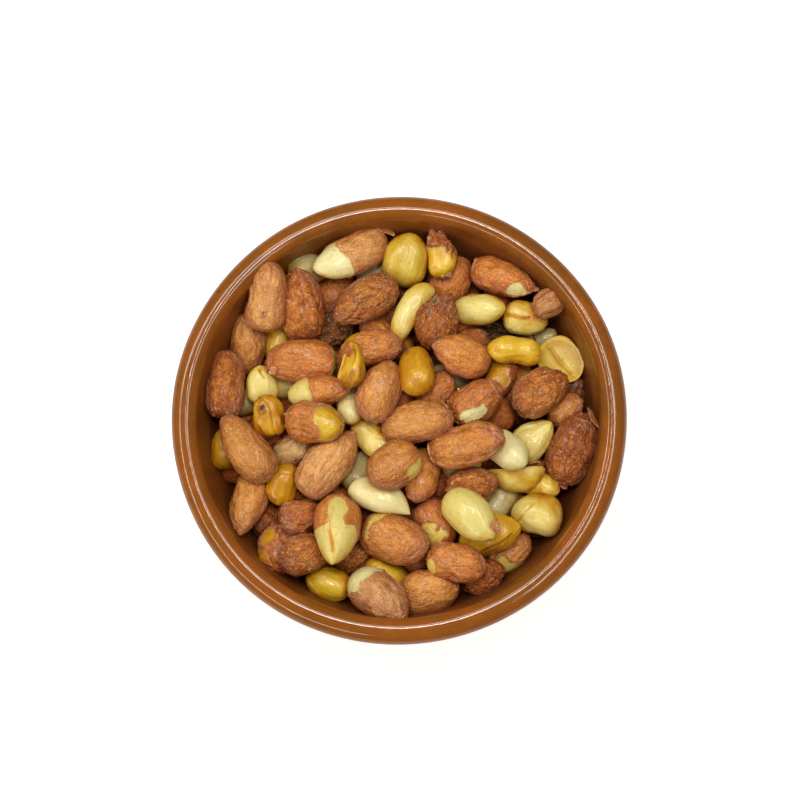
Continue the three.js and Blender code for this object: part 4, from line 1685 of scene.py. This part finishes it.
def makeCore():
    values = coreValues
    chance = np.random.default_rng(31)
    power = bowlValues["innerFullness"]
    floor = bowlValues["floorThickness"] + values["wallGap"]
    profile = []
    for height in np.linspace(floor, values["edge"], values["steps"]):
        share = (lipHeight - height) / (innerDepth + 0.001)
        radius = mouthRadius * max(1 - share ** power, 0) ** (1 / power) - values["wallGap"]
        profile.append((max(radius, 0.5), height))
    widest = profile[-1][0]
    rise = values["top"] - values["edge"]
    for share in np.linspace(0, 1, values["steps"])[1:]:
        profile.append((max(widest * (1 - share), 0.5), values["edge"] + rise * math.sin(share * 1.57)))
    profile = np.array(profile)
    angle = np.linspace(0, 2 * math.pi, values["around"], endpoint=False)
    radius = np.repeat(profile[:, 0], values["around"])
    turn = np.tile(angle, len(profile))
    height = np.repeat(profile[:, 1], values["around"])
    points = np.stack([radius * np.cos(turn), radius * np.sin(turn), height], -1)
    upper = smoothStep(height, values["edge"] - 1.0, values["edge"] + 0.5) * (radius < widest - 1.5)
    points[:, 2] += np.abs(softNoise(points, values["lumpSize"], chance)) * values["lumps"] * upper
    ends = np.array([[0, 0, floor], [0, 0, points[-1, 2]]])
    points = np.concatenate([points, ends])
    faces = gridFaces(len(profile), values["around"], len(points) - 2, len(points) - 1)
    partOfHeap(makeMesh("heap_core", points, faces, makeCoreMaterial()))


makeCore()

# floor and light; sizes in metres
stageValues = {
    "floorSize": 8.0,
    "floorColor": (0.94, 0.94, 0.94, 1),
    "floorGlow": 0.6,
    "floorMirrored": 0.25,  # share of the glow that shows in reflections
    "worldStrength": 0.10,
    "backdrop": 0.9,  # how bright the room behind looks
    "lightAim": (0.0, 0.0, 0.04),
    # strips of light round the camera, from the right over the back to the left and the front
    "stripCorners": [
        (0.19, -0.217), (0.19, 0.06), (-0.085, 0.19), (-0.335, 0.155),
        (-0.50, -0.10), (-0.50, -0.27), (-0.365, -0.56), (-0.10, -0.53),
    ],
    "stripHeight": 0.43,
    "stripWidth": 0.05,
    "stripPower": 2.9,  # watts, of all strips together
    "overhead": (-0.015, 0.03, 0.43),
    "overheadSize": 0.06,
    "overheadPower": 0.35,
    "lightColor": (1.0, 0.96, 0.90),
}


def makeAreaLight(name, place, way, size, power):
    # a rectangle facing the bowl, its length along the given way
    data = bpy.data.lights.new(name, "AREA")
    data.shape = "RECTANGLE"
    data.size, data.size_y = size
    data.energy = power
    data.color = stageValues["lightColor"]
    light = bpy.data.objects.new(name, data)
    back = (place - Vector(stageValues["lightAim"])).normalized()
    right = (way - back * way.dot(back)).normalized()
    turn = Matrix((right, back.cross(right), back)).transposed().to_4x4()
    light.matrix_world = Matrix.Translation(place) @ turn
    bpy.context.scene.collection.objects.link(light)


def makeLights():
    values = stageValues
    corners = [Vector((x, y, values["stripHeight"])) for x, y in values["stripCorners"]]
    strips = list(zip(corners, corners[1:]))
    whole = sum((end - start).length for start, end in strips)
    for i, (start, end) in enumerate(strips):
        size = ((end - start).length, values["stripWidth"])
        power = values["stripPower"] * size[0] / whole
        makeAreaLight(f"strip_{i + 1}", (start + end) / 2, end - start, size, power)
    size = (values["overheadSize"], values["overheadSize"])
    makeAreaLight("overhead", Vector(values["overhead"]), Vector((1, 0, 0)), size, values["overheadPower"])


def makeStage():
    half = stageValues["floorSize"] / 2
    corners = np.array([(-half, -half, 0), (half, -half, 0), (half, half, 0), (-half, half, 0)]) / mm
    material, tree, surface = newMaterial("floor", {
        "Base Color": stageValues["floorColor"],
        "Roughness": 0.9,
        "Emission Strength": stageValues["floorGlow"],
    })
    # the floor glows less in the glaze, so that the bowl keeps its own colour
    mirrored = addNode(tree, "LightPath").outputs["Is Glossy Ray"]
    glow = rangeNode(tree, mirrored, 0, 1, 1.0, stageValues["floorMirrored"])
    connect(tree, mixColor(tree, glow, (0, 0, 0, 1), (1, 1, 1, 1)), surface.inputs["Emission Color"])
    floor = makeMesh("floor", corners, [(0, 1, 2, 3)], material)
    world = bpy.data.worlds.new("studio")
    world.use_nodes = True
    sky = world.node_tree
    straight = addNode(sky, "LightPath").outputs["Is Camera Ray"]
    strength = rangeNode(sky, straight, 0, 1, stageValues["worldStrength"], stageValues["backdrop"])
    sky.nodes["Background"].inputs["Color"].default_value = (1.0, 0.99, 0.97, 1)
    connect(sky, strength, sky.nodes["Background"].inputs["Strength"])
    scene = bpy.context.scene
    scene.world = world
    scene.view_settings.view_transform = "Standard"


makeStage()
makeLights()
print("stage and lights made")
